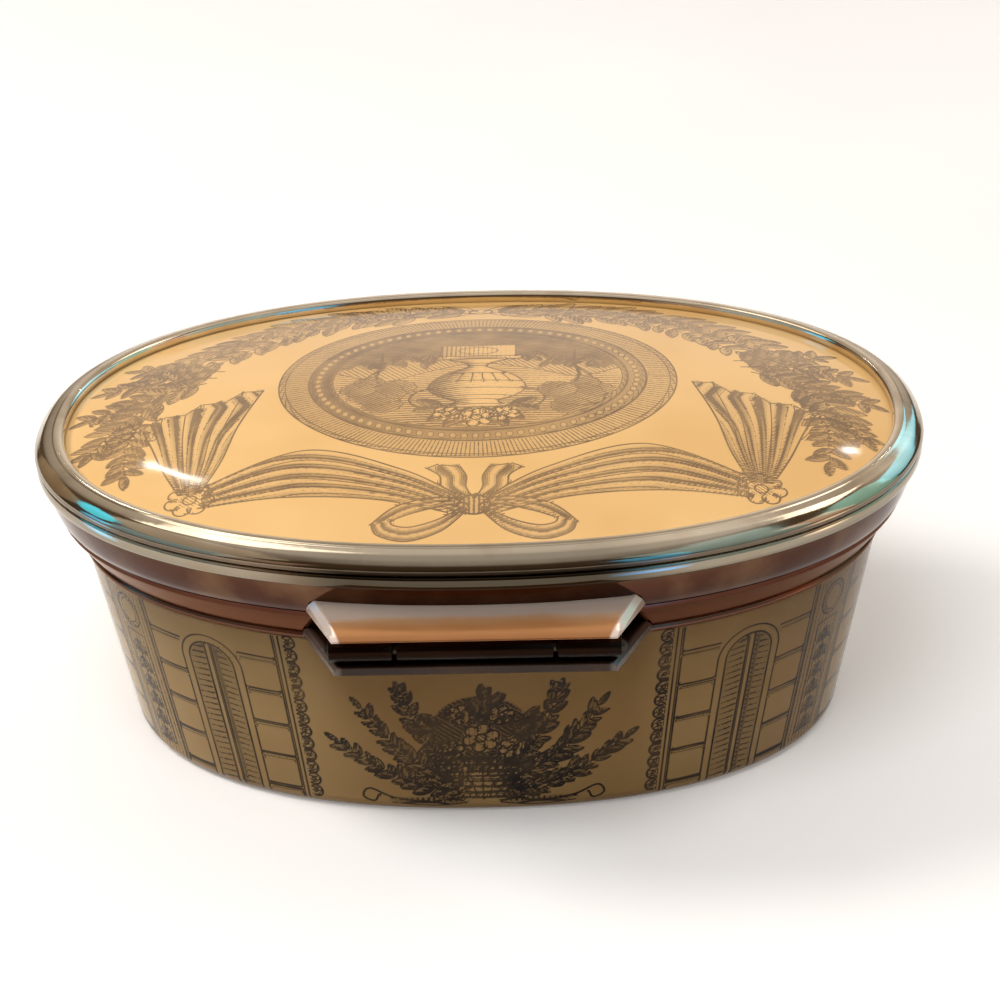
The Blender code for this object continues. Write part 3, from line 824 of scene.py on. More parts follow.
def lidArtwork():
    # Garden urn in an oval frame, with cloth swags above and leaves round it; it reads from the thumb lift
    sheet = newSheet()
    chance = random.Random(11)
    middle = np.array((0, -1.4))
    thin, plain, bold = 0.045, 0.06, 0.085

    # Foliage and cloth first, so that the frame is drawn over them
    for way in (1, -1):
        turn = np.array((way, 1))
        for stem, gap, long, wide, spread, tone in lidFoliage:
            branch(sheet, np.array(stem) * turn, gap, long, wide, thin, spread, tone, chance)
        for upper, lower, folds, hem in lidCloths:
            cloth(sheet, np.array(upper) * turn, np.array(lower) * turn, folds, hem, thin)
        rosette(sheet, (17.1 * way, 12.3), 1.5, 7, plain)
        tie = np.array(((0.2, -14.4), (2.2, -13.2), (3.4, -14.4), (2.2, -15.9), (0.3, -14.8))) * turn
        tail = np.array(((0.3, -15.0), (1.6, -16.6), (4.4, -17.2), (7.4, -17.3))) * turn
        draw(sheet, smoothRun(tie, 8), plain)
        draw(sheet, smoothRun(tail, 8), bold, 0.4)
    hatchArea(sheet, insideEllipse((0, 14.4), (0.95, 0.9)), 0.5, 0.25)
    draw(sheet, ellipse((0, 14.4), (0.95, 0.9), steps=24), bold)
    draw(sheet, ellipse((0, -14.7), (0.8, 0.7), steps=24), bold)

    # Frame: a broad toned band, a dark one with beads, and a fine line
    outer, inner, field = (12.9, 11.0), (10.95, 9.05), (9.4, 7.5)
    frames = ((outer, plain), ((12.5, 10.6), thin), (inner, bold), ((9.75, 7.85), bold), (field, thin))
    hatchArea(sheet, insideEllipse(middle, outer), 0.34, lambda a, b: 0.30 + 0.10 * np.tanh((a - b) / 8),
              lambda a, b: np.arctan2(b + 1.4, a) * 11.5)
    hatchArea(sheet, insideEllipse(middle, inner), noTone, lambda a, b: 0.72 + 0.16 * np.tanh((a - b) / 6))
    for reach, ink in frames:
        draw(sheet, ellipse(middle, reach, steps=160), ink)
    turns = np.linspace(0, 2 * pi, 721)
    along = lengthAlong(ellipse(middle, (10.35, 8.45), steps=720))
    for place in np.linspace(0, along[-1], 84, endpoint=False):
        turn = np.interp(place, along, turns)
        bead = middle + (10.35 * cos(turn), 8.45 * sin(turn))
        hatchArea(sheet, insideEllipse(bead, (0.22, 0.32)), noTone, 0.34, box=(bead - 1, bead + 1))
        draw(sheet, ellipse(bead, (0.22, 0.33), steps=14), thin * 0.9)

    # Picture in the frame: sky, hills, a dark bank and two trees
    def sky(a, b):
        drift = np.sin(a * 0.55 + 1.2) * np.sin(b * 1.1 + a * 0.2)
        return 0.40 + 0.03 * (b + 1.4) - 0.30 * np.clip(drift, 0, 1)
    inField = insideEllipse(middle, field)
    hatchArea(sheet, inField, sky, lambda a, b: 0.20 + 0.10 * np.tanh((b - 1) / 4), lambda a, b: b)
    hill = ((-9.2, -2.6), (-6.5, -1.2), (-3.6, -2.4), (0, -3.4), (3.2, -2.2), (6.0, -0.9), (9.2, -2.4))
    hill = smoothRun(hill, 10)
    draw(sheet, hill, thin)
    hatchArea(sheet, lambda a, b: softStep(b - np.interp(a, hill[:, 0], hill[:, 1])) * inField(a, b),
              0.34, 0.24, lambda a, b: 0.8 * a + 0.6 * b)

    def bankTop(a):
        return -4.6 + 0.35 * np.sin(2.1 * a) + 0.25 * np.sin(5.3 * a + 1) + 0.022 * a * a
    hatchArea(sheet, lambda a, b: softStep(b - bankTop(a), 0.3) * inField(a, b), 0.75,
              lambda a, b: 0.70 + 0.16 * np.sin(a * 2.3 + 0.8 * b) * np.sin(b * 2.9 - a * 0.7),
              lambda a, b: b * 1.1 + 0.2 * np.sin(2 * a))
    for _ in range(64):
        a = chance.uniform(-7.6, 7.6)
        if abs(a) < 2.7:  # the plinth stands here
            continue
        b = bankTop(a) - chance.uniform(-0.3, 1.0)
        leaf(sheet, (a, b), pi / 2 + chance.uniform(-0.9, 0.9), chance.uniform(0.8, 1.5), 0.5, thin, 1.2)
    lobes = np.linspace(0, 2 * pi, 61)
    for way, height in ((-1, 0.6), (1, 0.0)):
        trunk = np.array(((6.4, -5.6), (6.3, -3.4), (6.6, -1.6), (6.4, -0.4)))
        draw(sheet, trunk * (way, 1), bold * 1.3)
        draw(sheet, np.array(((6.3, -3.0), (7.2, -1.6), (7.6, -0.8))) * (way, 1), plain)
        crowns = ((6.4, 1.0, 1.7), (5.2, 0.2, 1.2), (7.6, 0.2, 1.1), (6.0, 2.6, 1.2), (7.0, -0.8, 0.9))
        for middleA, middleB, size in crowns:
            x, y = middleA * way, middleB + height
            edge = size * (1 + 0.13 * np.abs(np.sin(lobes * 4.5)))
            hatchArea(sheet, insideEllipse((x, y), (size, size * 0.85)), 0.6,
                      lambda a, b, x=x: 0.50 + 0.24 * np.tanh((a - x) * 1.2), lambda a, b: a * 0.7 - b)
            draw(sheet, np.stack((x + edge * np.cos(lobes), y + edge * 0.85 * np.sin(lobes)), 1), thin)

    # Urn on its plinth, with flowers
    profile = smoothRun(((1.9, -4.2), (1.8, -3.9), (0.9, -3.5), (0.6, -2.9), (0.95, -2.5), (2.2, -1.6),
                         (3.0, -0.3), (3.05, 0.8), (2.3, 1.8), (1.45, 2.3), (1.5, 2.7), (2.35, 3.1)), 6)

    def urnHalf(b):
        return np.interp(b, profile[:, 1], profile[:, 0])

    def roundShade(a, b):
        share = a / urnHalf(b)
        return np.clip(0.05 + 0.55 * share ** 2 * (share > 0) + 0.30 * share ** 2 + 0.22 * share, -0.1, 0.95)
    hatchArea(sheet, insideBox((-2.5, -6.6), (2.5, -4.6)), lambda a, b: 0.22 + 0.12 * a,
              lambda a, b: 0.08 + 0.35 * np.clip(a / 2.5, 0, 1))
    hatchArea(sheet, insideBox((-2.9, -4.65), (2.9, -4.15)), 0.1, 0.04)
    hatchArea(sheet, lambda a, b: softStep(np.abs(a) - urnHalf(b)) * softStep(b - 3.1) * softStep(-4.2 - b),
              roundShade, lambda a, b: 0.62 * np.clip(roundShade(a, b), 0, 1), lambda a, b: b + 0.12 * a * a)
    handle = smoothRun(((2.3, 2.6), (3.6, 3.2), (4.3, 2.2), (3.9, 1.0), (2.95, 0.5)), 8)
    for way in (1, -1):
        draw(sheet, profile * (way, 1), plain)
        draw(sheet, handle * (way, 1), plain * 1.4)
    rims = ((2.35, 3.1), (1.45, 2.3), (2.3, 1.8), (3.05, 0.8), (2.95, -0.3), (2.2, -1.6), (0.6, -2.9),
            (1.9, -4.2))
    for reach, high in rims:
        draw(sheet, ellipse((0, high), (reach, reach * 0.12), pi, 2 * pi, 24), thin)
    for flute in (-2.2, -1.3, -0.4, 0.4, 1.3, 2.2):
        draw(sheet, ((flute * 0.7, -1.8), (flute, -0.5)), thin)
    draw(sheet, ((-2.9, -4.65), (-2.9, -4.15), (2.9, -4.15), (2.9, -4.65), (-2.9, -4.65)), plain)
    draw(sheet, ((-2.5, -4.65), (-2.5, -6.6), (2.5, -6.6), (2.5, -4.65)), plain)
    draw(sheet, ellipse((0, -5.6), (1.3, 0.6), steps=32), thin)
    posy = ((0.4, 3.3, 1.2, 2.4), (1.2, 3.3, 0.75, 2.5), (1.8, 3.2, 0.2, 2.3), (2.2, 3.0, -0.5, 1.9),
            (0.9, 4.2, 1.0, 2.0))
    for way in (1, -1):
        for a, b, angle, length in posy:
            leaf(sheet, (a * way, b), angle if way > 0 else pi - angle, length, 0.95, thin, 1.1)
    for spot, size in (((0, 4.7), 1.15), ((-1.8, 4.2), 0.95), ((1.85, 4.1), 0.95)):
        hatchArea(sheet, insideEllipse(spot, (size, size)), noTone, 0.05)
        rosette(sheet, spot, size, 6, plain)
    return sheet


def makeLidPlate():
    size = lidPlate
    columns, rows = size["columns"], size["rows"]
    # A square grid bent into the oval, so that no faces crowd at its middle
    across, along = np.meshgrid(np.linspace(-1, 1, columns), np.linspace(-1, 1, rows))
    flip = np.abs(across) < np.abs(along)
    radius = np.where(flip, along, across)
    with np.errstate(divide="ignore", invalid="ignore"):
        turn = np.where(flip, pi / 2 - pi / 4 * across / along, pi / 4 * along / across)
    turn = np.where(radius == 0, 0, turn)
    radius = radius / ovalLevel(np.cos(turn), np.sin(turn))
    x = (radius * np.cos(turn)).ravel() * size["halfLength"]
    y = (radius * np.sin(turn)).ravel() * size["halfWidth"]
    number = np.arange(columns * rows).reshape(rows, columns)
    faces = np.stack((number[:-1, :-1], number[:-1, 1:], number[1:, 1:], number[1:, :-1]), -1).reshape(-1, 4)
    faces = [tuple(face) for face in faces.tolist()]
    points = [*np.stack((x, y, plateHeight(x, y)), 1)]
    rings = [[*number[0, :-1], *number[:-1, -1], *number[-1, :0:-1], *number[:0:-1, 0]]]
    for share, ratio in size["underside"]:
        base = np.array([points[i][:2] for i in rings[-1][::ratio]])
        plan = base / (max(np.abs(base[:, 0])) / size["halfLength"]) * share
        start = len(points)
        points += [(*spot, plateHeight(*spot, drop=size["thickness"])) for spot in plan]
        rings.append(list(range(start, len(points))))
    points.append((0, 0, plateHeight(0.0, 0.0, drop=size["thickness"])))
    rings.append([len(points) - 1])
    for fine, coarse in zip(rings, rings[1:]):
        stitch(faces, fine, coarse)
    piece = finishMesh("lid_print_plate", newMesh("lid_print_plate", points, faces), lidPrint)
    printOnto(piece.data, lidArtwork(), -x, -y, lambda a, b: np.stack((-a, -b, plateHeight(-a, -b)), 1))
    dress(piece, "lid", "lid_enamel")


# Wall of the cup: printed outside, with a plain flat foot
cupWall = {
    "top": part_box("cup_enamel")[1].z / mm,
    "topInset": 2.52,
    "footInset": 4.55,
    "cornerWidth": 0.95,
    "cornerHeight": 1.2,
    "thickness": 0.45,
    "around": 832,
    "up": 78,
    "ratio": 8,  # points of the outside for each one of the inside
    "middleHeight": 7.5,
}


def wallInset(height):
    size = cupWall
    share = (height - size["cornerHeight"]) / (size["top"] - size["cornerHeight"])
    return size["footInset"] + (size["topInset"] - size["footInset"]) * share


# The wall's middle line from the hinge's side round to the right: its length gives the sheet's width
wallTurns = np.linspace(-pi / 2, 3 * pi / 2, 7201)
wallAlong = lengthAlong(np.stack(ovalPoint(wallTurns, wallInset(cupWall["middleHeight"])), 1))
wallHalf = wallAlong[-1] / 2

# What stands on the wall, in mm of the sheet
arcade = {
    "foot": 0.6,
    "head": 13.5,
    "courses": [1.25 + 2.62 * row for row in range(5)],
    "panelHalf": 12.1,
    "bay": 9.2,
    "pierWidth": 4.1,
    "windowWidth": 4.3,
    "spring": 10.3,  # height at which the arches start
    # Painted shade: a brown wash under the mount, fading out downward
    "shadeVeil": 0.34,  # a brown tone under the mount, which fades out downward
}


def wallArtwork():
    # An arcade of coursed stone with shuttered round-headed windows, and a laurel panel front and back
    size = arcade
    foot, head, panelHalf, bay = size["foot"], size["head"], size["panelHalf"], size["bay"]
    pierWidth, windowWidth, spring = size["pierWidth"], size["windowWidth"], size["spring"]
    # The sheet carries painted shade under the mount
    sheet = newSheet(lambda a, b: size["shadeVeil"] * np.clip((b - 6.5) / 6.5, 0, 1) ** 1.2)
    chance = random.Random(7)
    thin, plain, bold = 0.05, 0.068, 0.095

    def uprights(places, ink):
        for place in places:
            draw(sheet, ((place, foot), (place, head)), ink)

    def course(points, slack, ink):
        line = [(a + chance.uniform(-slack, slack), b + chance.uniform(-slack, slack)) for a, b in points]
        draw(sheet, smoothRun(line, 4), ink)

    def blocks(low, high):
        for height in size["courses"]:
            course(((low, height), ((low + high) / 2, height), (high, height)), 0.03, plain * 1.15)
            course(((low + 0.1, height - 0.34), (high - 0.1, height - 0.34)), 0.015, thin * 0.5)
            hatchArea(sheet, insideBox((low, height - 0.45), (high, height)), 0.1, 0.12, lambda a, b: a * 1.3)

    def window(middle):
        half = windowWidth / 2
        inner = half - 0.62
        for reach, ink in ((half, plain), (half - 0.55, plain * 1.1)):
            arch = ellipse((middle, spring), (reach, reach), pi, 0, 40)
            draw(sheet, ((middle - reach, foot), *arch, (middle + reach, foot)), ink)
        for side in (-0.24, 0.24):
            draw(sheet, ((middle + side, foot), (middle + side, spring + 1.55)), plain * 1.2)

        def shutters(a, b):
            rise = np.sqrt(np.clip(inner ** 2 - (a - middle) ** 2, 0, None))
            out = np.maximum(np.abs(a - middle) - inner, np.maximum(b - spring - rise, foot - b))
            return softStep(np.maximum(out, 0.3 - np.abs(a - middle)))

        def headShade(b):
            return np.clip((b - spring) / 2, 0, 1)
        hatchArea(sheet, shutters,
                  lambda a, b: 0.40 - 0.24 * (np.abs(a - middle) - 0.3) / (inner - 0.3) + 0.30 * headShade(b),
                  lambda a, b: 0.24 + 0.18 * headShade(b), lambda a, b: 0.78 * b + 0.08 * np.abs(a - middle))
        hatchArea(sheet, lambda a, b: shutters(a, b) * softStep(np.abs(a - middle - 0.44) - 0.12), 0.5, 0.66,
                  lambda a, b: b)

    def pier(middle):
        half = pierWidth / 2
        uprights((middle - half, middle + half), plain)
        uprights((middle - half + 0.35, middle + half - 0.35), thin)
        hatchArea(sheet, insideBox((middle - half, foot), (middle + half, head)), 0.22, 0.10)
        hatchArea(sheet, insideEllipse((middle, 11.9), (1.05, 1.25)), noTone, 0.02)
        draw(sheet, ellipse((middle, 11.9), (1.05, 1.25), steps=32), plain)
        draw(sheet, ellipse((middle, 11.9), (0.7, 0.9), steps=32), thin)
        low, high = middle - 0.95, middle + 0.95
        draw(sheet, ((low, 1.5), (low, 10.2), (high, 10.2), (high, 1.5), (low, 1.5)), thin)
        for step in range(6):
            for side in (-0.55, 0, 0.55):
                leaf(sheet, (middle, 9.6 - 1.4 * step), -pi / 2 + side, 1.25, 0.5, thin * 0.8, 0.7)

    def scallops(middle, way):
        start = pi / 2 if way > 0 else -pi / 2
        for height in np.arange(1.2, 13.4, 1.0):
            draw(sheet, ellipse((middle, height), (0.43, 0.46), start - 0.5, start + pi + 0.5, 22), plain)
            draw(sheet, ellipse((middle + 0.04 * way, height), (0.14, 0.16), steps=12), thin)
        hatchArea(sheet, insideBox((middle - 0.4, foot), (middle + 0.4, head)), 0.3, 0.10, lambda a, b: b * 1.2)

    def spray(middle):
        # A basket of leaves and flowers between crossed sprays, with scrolls at its foot
        move = np.array((middle, 0))
        runs = (
            (((1.0, 1.9), (3.6, 2.2), (6.4, 3.6), (9.0, 5.6)), 1.55),
            (((0.9, 2.2), (3.2, 3.6), (5.4, 5.6), (7.2, 8.4)), 1.7),
            (((0.8, 2.6), (2.4, 4.6), (3.9, 7.2), (4.7, 9.8)), 1.6),
        )
        scroll = ((1.2, 1.35), (3.4, 1.0), (5.8, 1.2), (7.4, 1.9), (7.9, 1.2), (7.2, 0.85), (6.9, 1.3))
        for way in (1, -1):
            turn = np.array((way, 1))
            for run, long in runs:
                branch(sheet, np.array(run) * turn + move, 0.86, long, 0.66, thin, 0.6, 1.0, chance)
            draw(sheet, smoothRun(np.array(scroll) * turn + move, 8), bold, 0.25)
            draw(sheet, smoothRun(np.array(((1.2, 0.9), (3.4, 0.62), (5.9, 0.8))) * turn + move, 8), plain, 0.3)
            hatchArea(sheet, insideEllipse(move + (3.6 * way, 1.05), (2.5, 0.3)), 0.5, 0.35)

        def basketHalf(b):
            return np.interp(b, (1.3, 2.6, 4.3), (1.2, 2.0, 2.5))
        hatchArea(sheet, insideEllipse(move + (0, 6.4), (3.2, 3.3)), 0.9, 0.42, lambda a, b: a * 0.8 + b)
        for _ in range(46):
            turn = chance.uniform(0, 2 * pi)
            far = chance.uniform(0.2, 1) ** 0.6
            base = move + (3.1 * far * cos(turn), 6.5 + 3.0 * far * sin(turn))
            if base[1] > 4.2:
                leaf(sheet, base, turn + chance.uniform(-0.6, 0.6), chance.uniform(0.9, 1.5), 0.6, thin, 1.2)
        flowers = ((0, 6.3, 1.15), (-1.9, 5.3, 0.85), (1.9, 5.4, 0.85), (-1.2, 8.2, 0.8), (1.3, 8.1, 0.8))
        for a, b, radius in flowers:
            hatchArea(sheet, insideEllipse(move + (a, b), (radius, radius)), 0.1, 0.02)
            rosette(sheet, move + (a, b), radius, 6, plain)

        def inBasket(a, b):
            return softStep(np.abs(a - middle) - basketHalf(b)) * softStep(b - 4.3) * softStep(1.3 - b)
        hatchArea(sheet, inBasket, lambda a, b: 0.42 + 0.16 * (a - middle), 0.08, lambda a, b: b * 0.8)
        for height in (1.9, 2.5, 3.1, 3.7):
            draw(sheet, ellipse(move + (0, height), (float(basketHalf(height)), 0.22), pi, 2 * pi, 20), thin)
        for share in (-0.66, -0.33, 0, 0.33, 0.66):
            draw(sheet, np.array(((share * 1.2, 1.3), (share * 2.0, 2.6), (share * 2.5, 4.2))) + move, thin)
        basket = ((-2.5, 4.3), (-2.0, 2.6), (-1.2, 1.3), (1.2, 1.3), (2.0, 2.6), (2.5, 4.3))
        draw(sheet, np.array(basket) + move, plain)
        draw(sheet, ellipse(move + (0, 4.3), (2.55, 0.26), steps=40), plain * 1.2)

    # A bay with one window beside each panel, piers, and a wide bay with two windows round the oval's end
    wide = panelHalf + bay + pierWidth
    gap = (2 * (wallHalf / 2 - wide) - 2 * windowWidth) / 3
    centres = [panelHalf + bay / 2, wide + gap + windowWidth / 2]
    centres += [wallHalf - centre for centre in centres[::-1]]
    sides = [centre + side * windowWidth / 2 for centre in centres for side in (-1, 1)]
    edges = [panelHalf, *sides, wallHalf - panelHalf]
    beside = (bay - windowWidth) / 2
    for way in (1, -1):
        for edge, inward in ((0, way), (way * wallHalf, -way)):
            scallops(edge + inward * 11.1, inward)
            uprights((edge + inward * 11.68, edge + inward * 12.08), plain)
        for start, end in zip(edges[::2], edges[1::2]):
            # A long run has a pier in it, so it is laid in two parts
            for run in ((start, end),) if end - start < 3.5 else ((start, start + beside), (end - gap, end)):
                low, high = sorted((way * run[0], way * run[1]))
                blocks(low + 0.05, high - 0.05)
        for centre in centres:
            window(way * centre)
        for middle in (panelHalf + bay + pierWidth / 2, wallHalf - panelHalf - bay - pierWidth / 2):
            pier(way * middle)
    spray(0)
    spray(wallHalf)
    return sheet


def makeCupWall():
    size = cupWall
    around, ratio, thickness, top = size["around"], size["ratio"], size["thickness"], size["top"]
    # Even steps of length round the wall, so that the print is as sharp at the ends as at the sides
    stations = np.interp(np.linspace(0, wallAlong[-1], around, endpoint=False), wallAlong, wallTurns)
    along = np.interp(stations, wallTurns, wallAlong)
    few = stations[::ratio]
    outer = []
    for turn in np.linspace(0, pi / 2, 9):
        inset = size["footInset"] + size["cornerWidth"] * (1 - sin(turn))
        outer.append((inset, size["cornerHeight"] * (1 - cos(turn)), stations))
    heights = np.linspace(size["cornerHeight"], top, size["up"])[1:]
    outer += [(wallInset(height), height, stations) for height in heights]
    inner = [(size["topInset"] + thickness, top, few)]
    inner += [(wallInset(height) + thickness, height, few) for height in (9.0, 5.0, 1.6)]
    corner = size["footInset"] + thickness
    inner += [(corner + 0.12, 0.85, few), (corner + 0.5, thickness, few)]
    inner += [(9.0, thickness, few[::2]), (15.0, thickness, few[::2])]
    under = [(7.0, 0.0, few), (11.0, 0.0, few[::2]), (16.0, 0.0, few[::2])]
    points, faces = [], []

    def addRings(rows, middle, first=None):
        # Stitches rings of (inset, height, turns) to one another and closes them with a middle point
        rings = [first] if first else []
        for inset, height, turns in rows:
            x, y = ovalPoint(turns, inset)
            rings.append(list(range(len(points), len(points) + len(x))))
            points.extend(np.stack((x, y, np.full(len(x), height)), 1))
        rings.append([len(points)])
        points.append((0, 0, middle))
        for fine, coarse in zip(rings, rings[1:]):
            stitch(faces, fine, coarse)
        return rings[0]
    addRings(under, 0, addRings(outer + inner, thickness))
    piece = finishMesh("cup_print_wall", newMesh("cup_print_wall", points, faces), wallPrint)

    def spot(a, b):
        x, y = ovalPoint(np.interp(np.mod(a, 2 * wallHalf), wallAlong, wallTurns), wallInset(b))
        return np.stack((x, y, b), 1)
    a = np.tile(np.where(along > wallHalf, along - 2 * wallHalf, along), len(outer))
    b = np.repeat([height for inset, height, turns in outer], around)
    printOnto(piece.data, wallArtwork(), a, b, spot)
    dress(piece, "base", "cup_enamel")


makeLidPlate()
makeCupWall()

# Hinge: a folded leaf soldered to each mount, three drawn knuckles and a wire pin
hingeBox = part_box("knuckle_centre")
hinge = {
    "out": -(hingeBox[0].y + hingeBox[1].y) / 2 / mm,
    "height": (hingeBox[0].z + hingeBox[1].z) / 2 / mm,
    "knuckleRadius": 0.70,
    "boreRadius": 0.38,
    "pinRadius": 0.36,
    "frontHalf": 8.1,
    "drawIn": 0.47,  # how much wider a leaf gets to either side for each mm towards the mount
    "contact": 0.02,
    # A leaf's section runs (out from the pin, height above it); None as its out means that it meets the mount.
    # Then come the mount's (height above its foot, inset) there, the bevel of the leaf's ends and the strength
    # of the highlight painted on them.
    "lidLeaf": (
        ((None, 0.905), (0.80, 0.905), (0.84, 0.925), (0.85, 0.965), (0.83, 1.03), (0.72, 1.11), (0.45, 1.22),
         (0.05, 1.345), (-0.45, 1.475), (-0.58, 1.51), (-0.68, 1.555), (None, 1.84)),
        ((0.0, 1.02), (0.10, 1.02), (0.45, 0.84), (0.95, 0.675), (1.5, 0.54)), 0.34, 0.9),
    "baseLeaf": (
        ((None, -1.50), (0.44, -1.50), (0.50, -1.45), (0.50, -0.98), (0.46, -0.915), (None, -0.905)),
        ((-0.24, 2.50), (0.0, 2.37), (0.26, 2.40), (0.52, 2.22), (0.98, 1.92)), 0.2, 0.12),
}


def makeLeaf(name, shape, foot):
    size = hinge
    section, insets, bevel, edgeHighlight = shape
    front = max(out for out, height in section if out is not None)
    lowest = min(height for out, height in section)
    columns = []
    inner = [(share, 0.0, 0.0) for share in np.linspace(-0.94, 0.94, 47)]
    for share, inward, drop in [(-1, 0.0, bevel), (-1, bevel, 0.0), *inner, (1, bevel, 0.0), (1, 0.0, bevel)]:
        column = []
        for out, height in section:
            reach = -2.0 if out is None else out
            # Where a leaf meets its mount depends on its width there, so a few rounds find it
            for _ in range(4 if out is None else 1):
                half = size["frontHalf"] + (front - reach) * size["drawIn"]
                across = share * half - np.sign(share) * inward
                if out is None:
                    inset = np.interp(size["height"] + height - foot, *zip(*insets))
                    reach = bandReach(inset, across) - size["out"] + size["contact"]
            tall = height - drop if height > lowest + bevel else height
            column.append((across, -size["out"] - reach, size["height"] + tall))
        columns.append(column)
    piece = skinColumns(name, columns, leafMetal)
    # A painted highlight on the leaf's bevelled ends
    painted_edge_highlight = np.zeros((len(columns), len(section)))
    painted_edge_highlight[[0, 1, -2, -1]] = edgeHighlight
    writeAttribute(piece.data, "painted_edge_highlight", painted_edge_highlight.ravel())
    return piece


def makeHinge():
    size = hinge
    toX = Matrix.Translation((0, -size["out"] * mm, size["height"] * mm)) @ Matrix.Rotation(pi / 2, 4, "Y")
    leaf = makeLeaf("lid_leaf_plate", size["lidLeaf"], lidMount["foot"])
    dress(leaf, "lid", "lid_hinge_leaf")
    leaf = makeLeaf("base_leaf_plate", size["baseLeaf"], baseMount["foot"])
    dress(leaf, "base", "base_hinge_leaf")

    depth = size["knuckleRadius"] - size["boreRadius"]
    for node, body in (("knuckle_left", "base"), ("knuckle_centre", "lid"), ("knuckle_right", "base")):
        low, high = (corner.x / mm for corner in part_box(node))
        half = (high - low) / 2 - 0.01
        section = [(depth, 0.03 - half), (depth - 0.03, -half), (0.10, -half), (0.03, 0.03 - half),
                   (0.0, 0.10 - half)]
        section += [(inset, -height) for inset, height in section[::-1]]
        move = Matrix.Translation(((low + high) / 2 * mm, 0, 0)) @ toX
        tube = turnOval(node + "_tube", section, barrelMetal, size["knuckleRadius"], 64, move)
        dress(tube, body, node)

    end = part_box("hinge_pin")[1].x / mm - 0.005
    wire = size["pinRadius"]
    section = [(wire, -end), (0.22, -end + 0.02), (0.08, -end + 0.08), (0.0, -end + 0.22)]
    section += [(inset, -height) for inset, height in section[::-1]]
    dress(turnOval("hinge_pin_wire", section, pinSteel, wire, 48, toX), "base", "hinge_pin")


# Thumb lift: a small rounded tab soldered into the cove of the lid mount
lift = {
    "halfWidth": 4.55,
    "edge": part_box("thumb_lift")[1].y / mm - 0.01,
    "foot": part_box("thumb_lift")[0].z / mm + 0.02,
    "rootInset": 0.76,
    "thickness": 0.78,
    "tilt": radians(7),
    "dish": 0.10,  # mm, the hollow for the thumb
}


def makeThumbLift():
    size = lift
    columns = []
    middle = size["foot"] + size["thickness"] / 2
    for across in size["halfWidth"] * np.sin(np.linspace(-pi / 2, pi / 2, 61)):
        share = abs(across) / size["halfWidth"]
        root = bandReach(size["rootInset"], across) + 0.02
        reach = (size["edge"] - root) * np.sqrt(max(1 - share ** 2.3, 0)) ** 1.05
        half = size["thickness"] / 2 * max(1 - share ** 9, 0.0) ** 0.5
        profile = [(part, half) for part in (0.0, 0.45, 0.70)]
        profile += [(1 - 0.22 * (1 - sin(turn)), half * cos(turn)) for turn in np.linspace(0.2, pi - 0.2, 9)]
        profile += [(part, -half) for part in (0.70, 0.45, 0.0)]
        column = []
        for part, rise in profile:
            dish = size["dish"] * sin(pi * min(part, 1)) * (rise > 0) * (1 - share ** 2)
            lifted = reach * part * sin(size["tilt"])
            column.append((across, root + reach * part, middle + rise - dish + lifted))
        columns.append(column)
    dress(skinColumns("thumb_lift_tab", columns, liftMetal, radians(50)), "lid", "thumb_lift")


# Enamel of the inside: a domed plate under the lid and a cup in the base
inside = {"lidThickness": 0.35, "cupDepth": 1.45, "cupThickness": 0.35, "fillet": 1.0}


def makeLidLining():
    size = lidPlate
    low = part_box("lid_lining")[0].z / mm + 0.01
    rise = size["high"] - size["low"] - size["thickness"]
    shares = (0, 0.15, 0.3, 0.45, 0.6, 0.72, 0.82, 0.9, 0.96, 0.99)
    under = [(share, low + rise * (1 - share ** size["domePower"])) for share in shares]
    over = [(share, height + inside["lidThickness"] - 0.02) for share, height in under[::-1]]
    edge = [(0.9985, low + 0.03), (1.0, low + 0.12), (1.0, low + 0.24), (0.9985, low + 0.33)]
    rings = [(size["halfLength"] * s, size["halfWidth"] * s, height) for s, height in under + edge + over]
    dress(ringSolid("lid_inner_enamel", rings, counterEnamel), "lid", "lid_lining")


def makeCupLining():
    low, high = (corner.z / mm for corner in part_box("cup_lining"))
    outer, thickness, fillet = inside["cupDepth"], inside["cupThickness"], inside["fillet"]
    inner, floor = outer + thickness, low + thickness
    middle = 30.0  # an inset past the middle, where the rings close to a point
    rows = [(middle, low), (9.0, low), (6.9, low), (wallInset(1.75) + outer + 0.08, low + 0.09),
            (wallInset(2.0) + outer, low + 0.4), (wallInset(high) + outer, high - 0.08),
            (wallInset(high) + outer + 0.06, high), (wallInset(high) + inner - 0.06, high),
            (wallInset(high) + inner, high - 0.08)]
    rows += [(wallInset(height) + inner, height) for height in (12.0, 8.0, 5.0, floor + fillet + 0.4)]
    for turn in np.linspace(0, pi / 2, 9):
        height = floor + fillet * (1 - sin(turn))
        rows.append((wallInset(height) + inner + fillet * (1 - cos(turn)), height))
    rows += [(9.0, floor), (12.0, floor), (16.0, floor), (middle, floor)]
    rings = [(oval["halfLength"] - inset if inset < middle else 0, oval["halfWidth"] - inset, height)
             for inset, height in rows]
    dress(ringSolid("cup_inner_enamel", rings, counterEnamel), "base", "cup_lining")


makeHinge()
makeThumbLift()
makeLidLining()
makeCupLining()

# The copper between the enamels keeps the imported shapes
for name in ("cup_copper", "lid_copper"):
    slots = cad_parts[name].data.materials
    slots.clear()
    slots.append(bareCopper)
print("copper coloured")


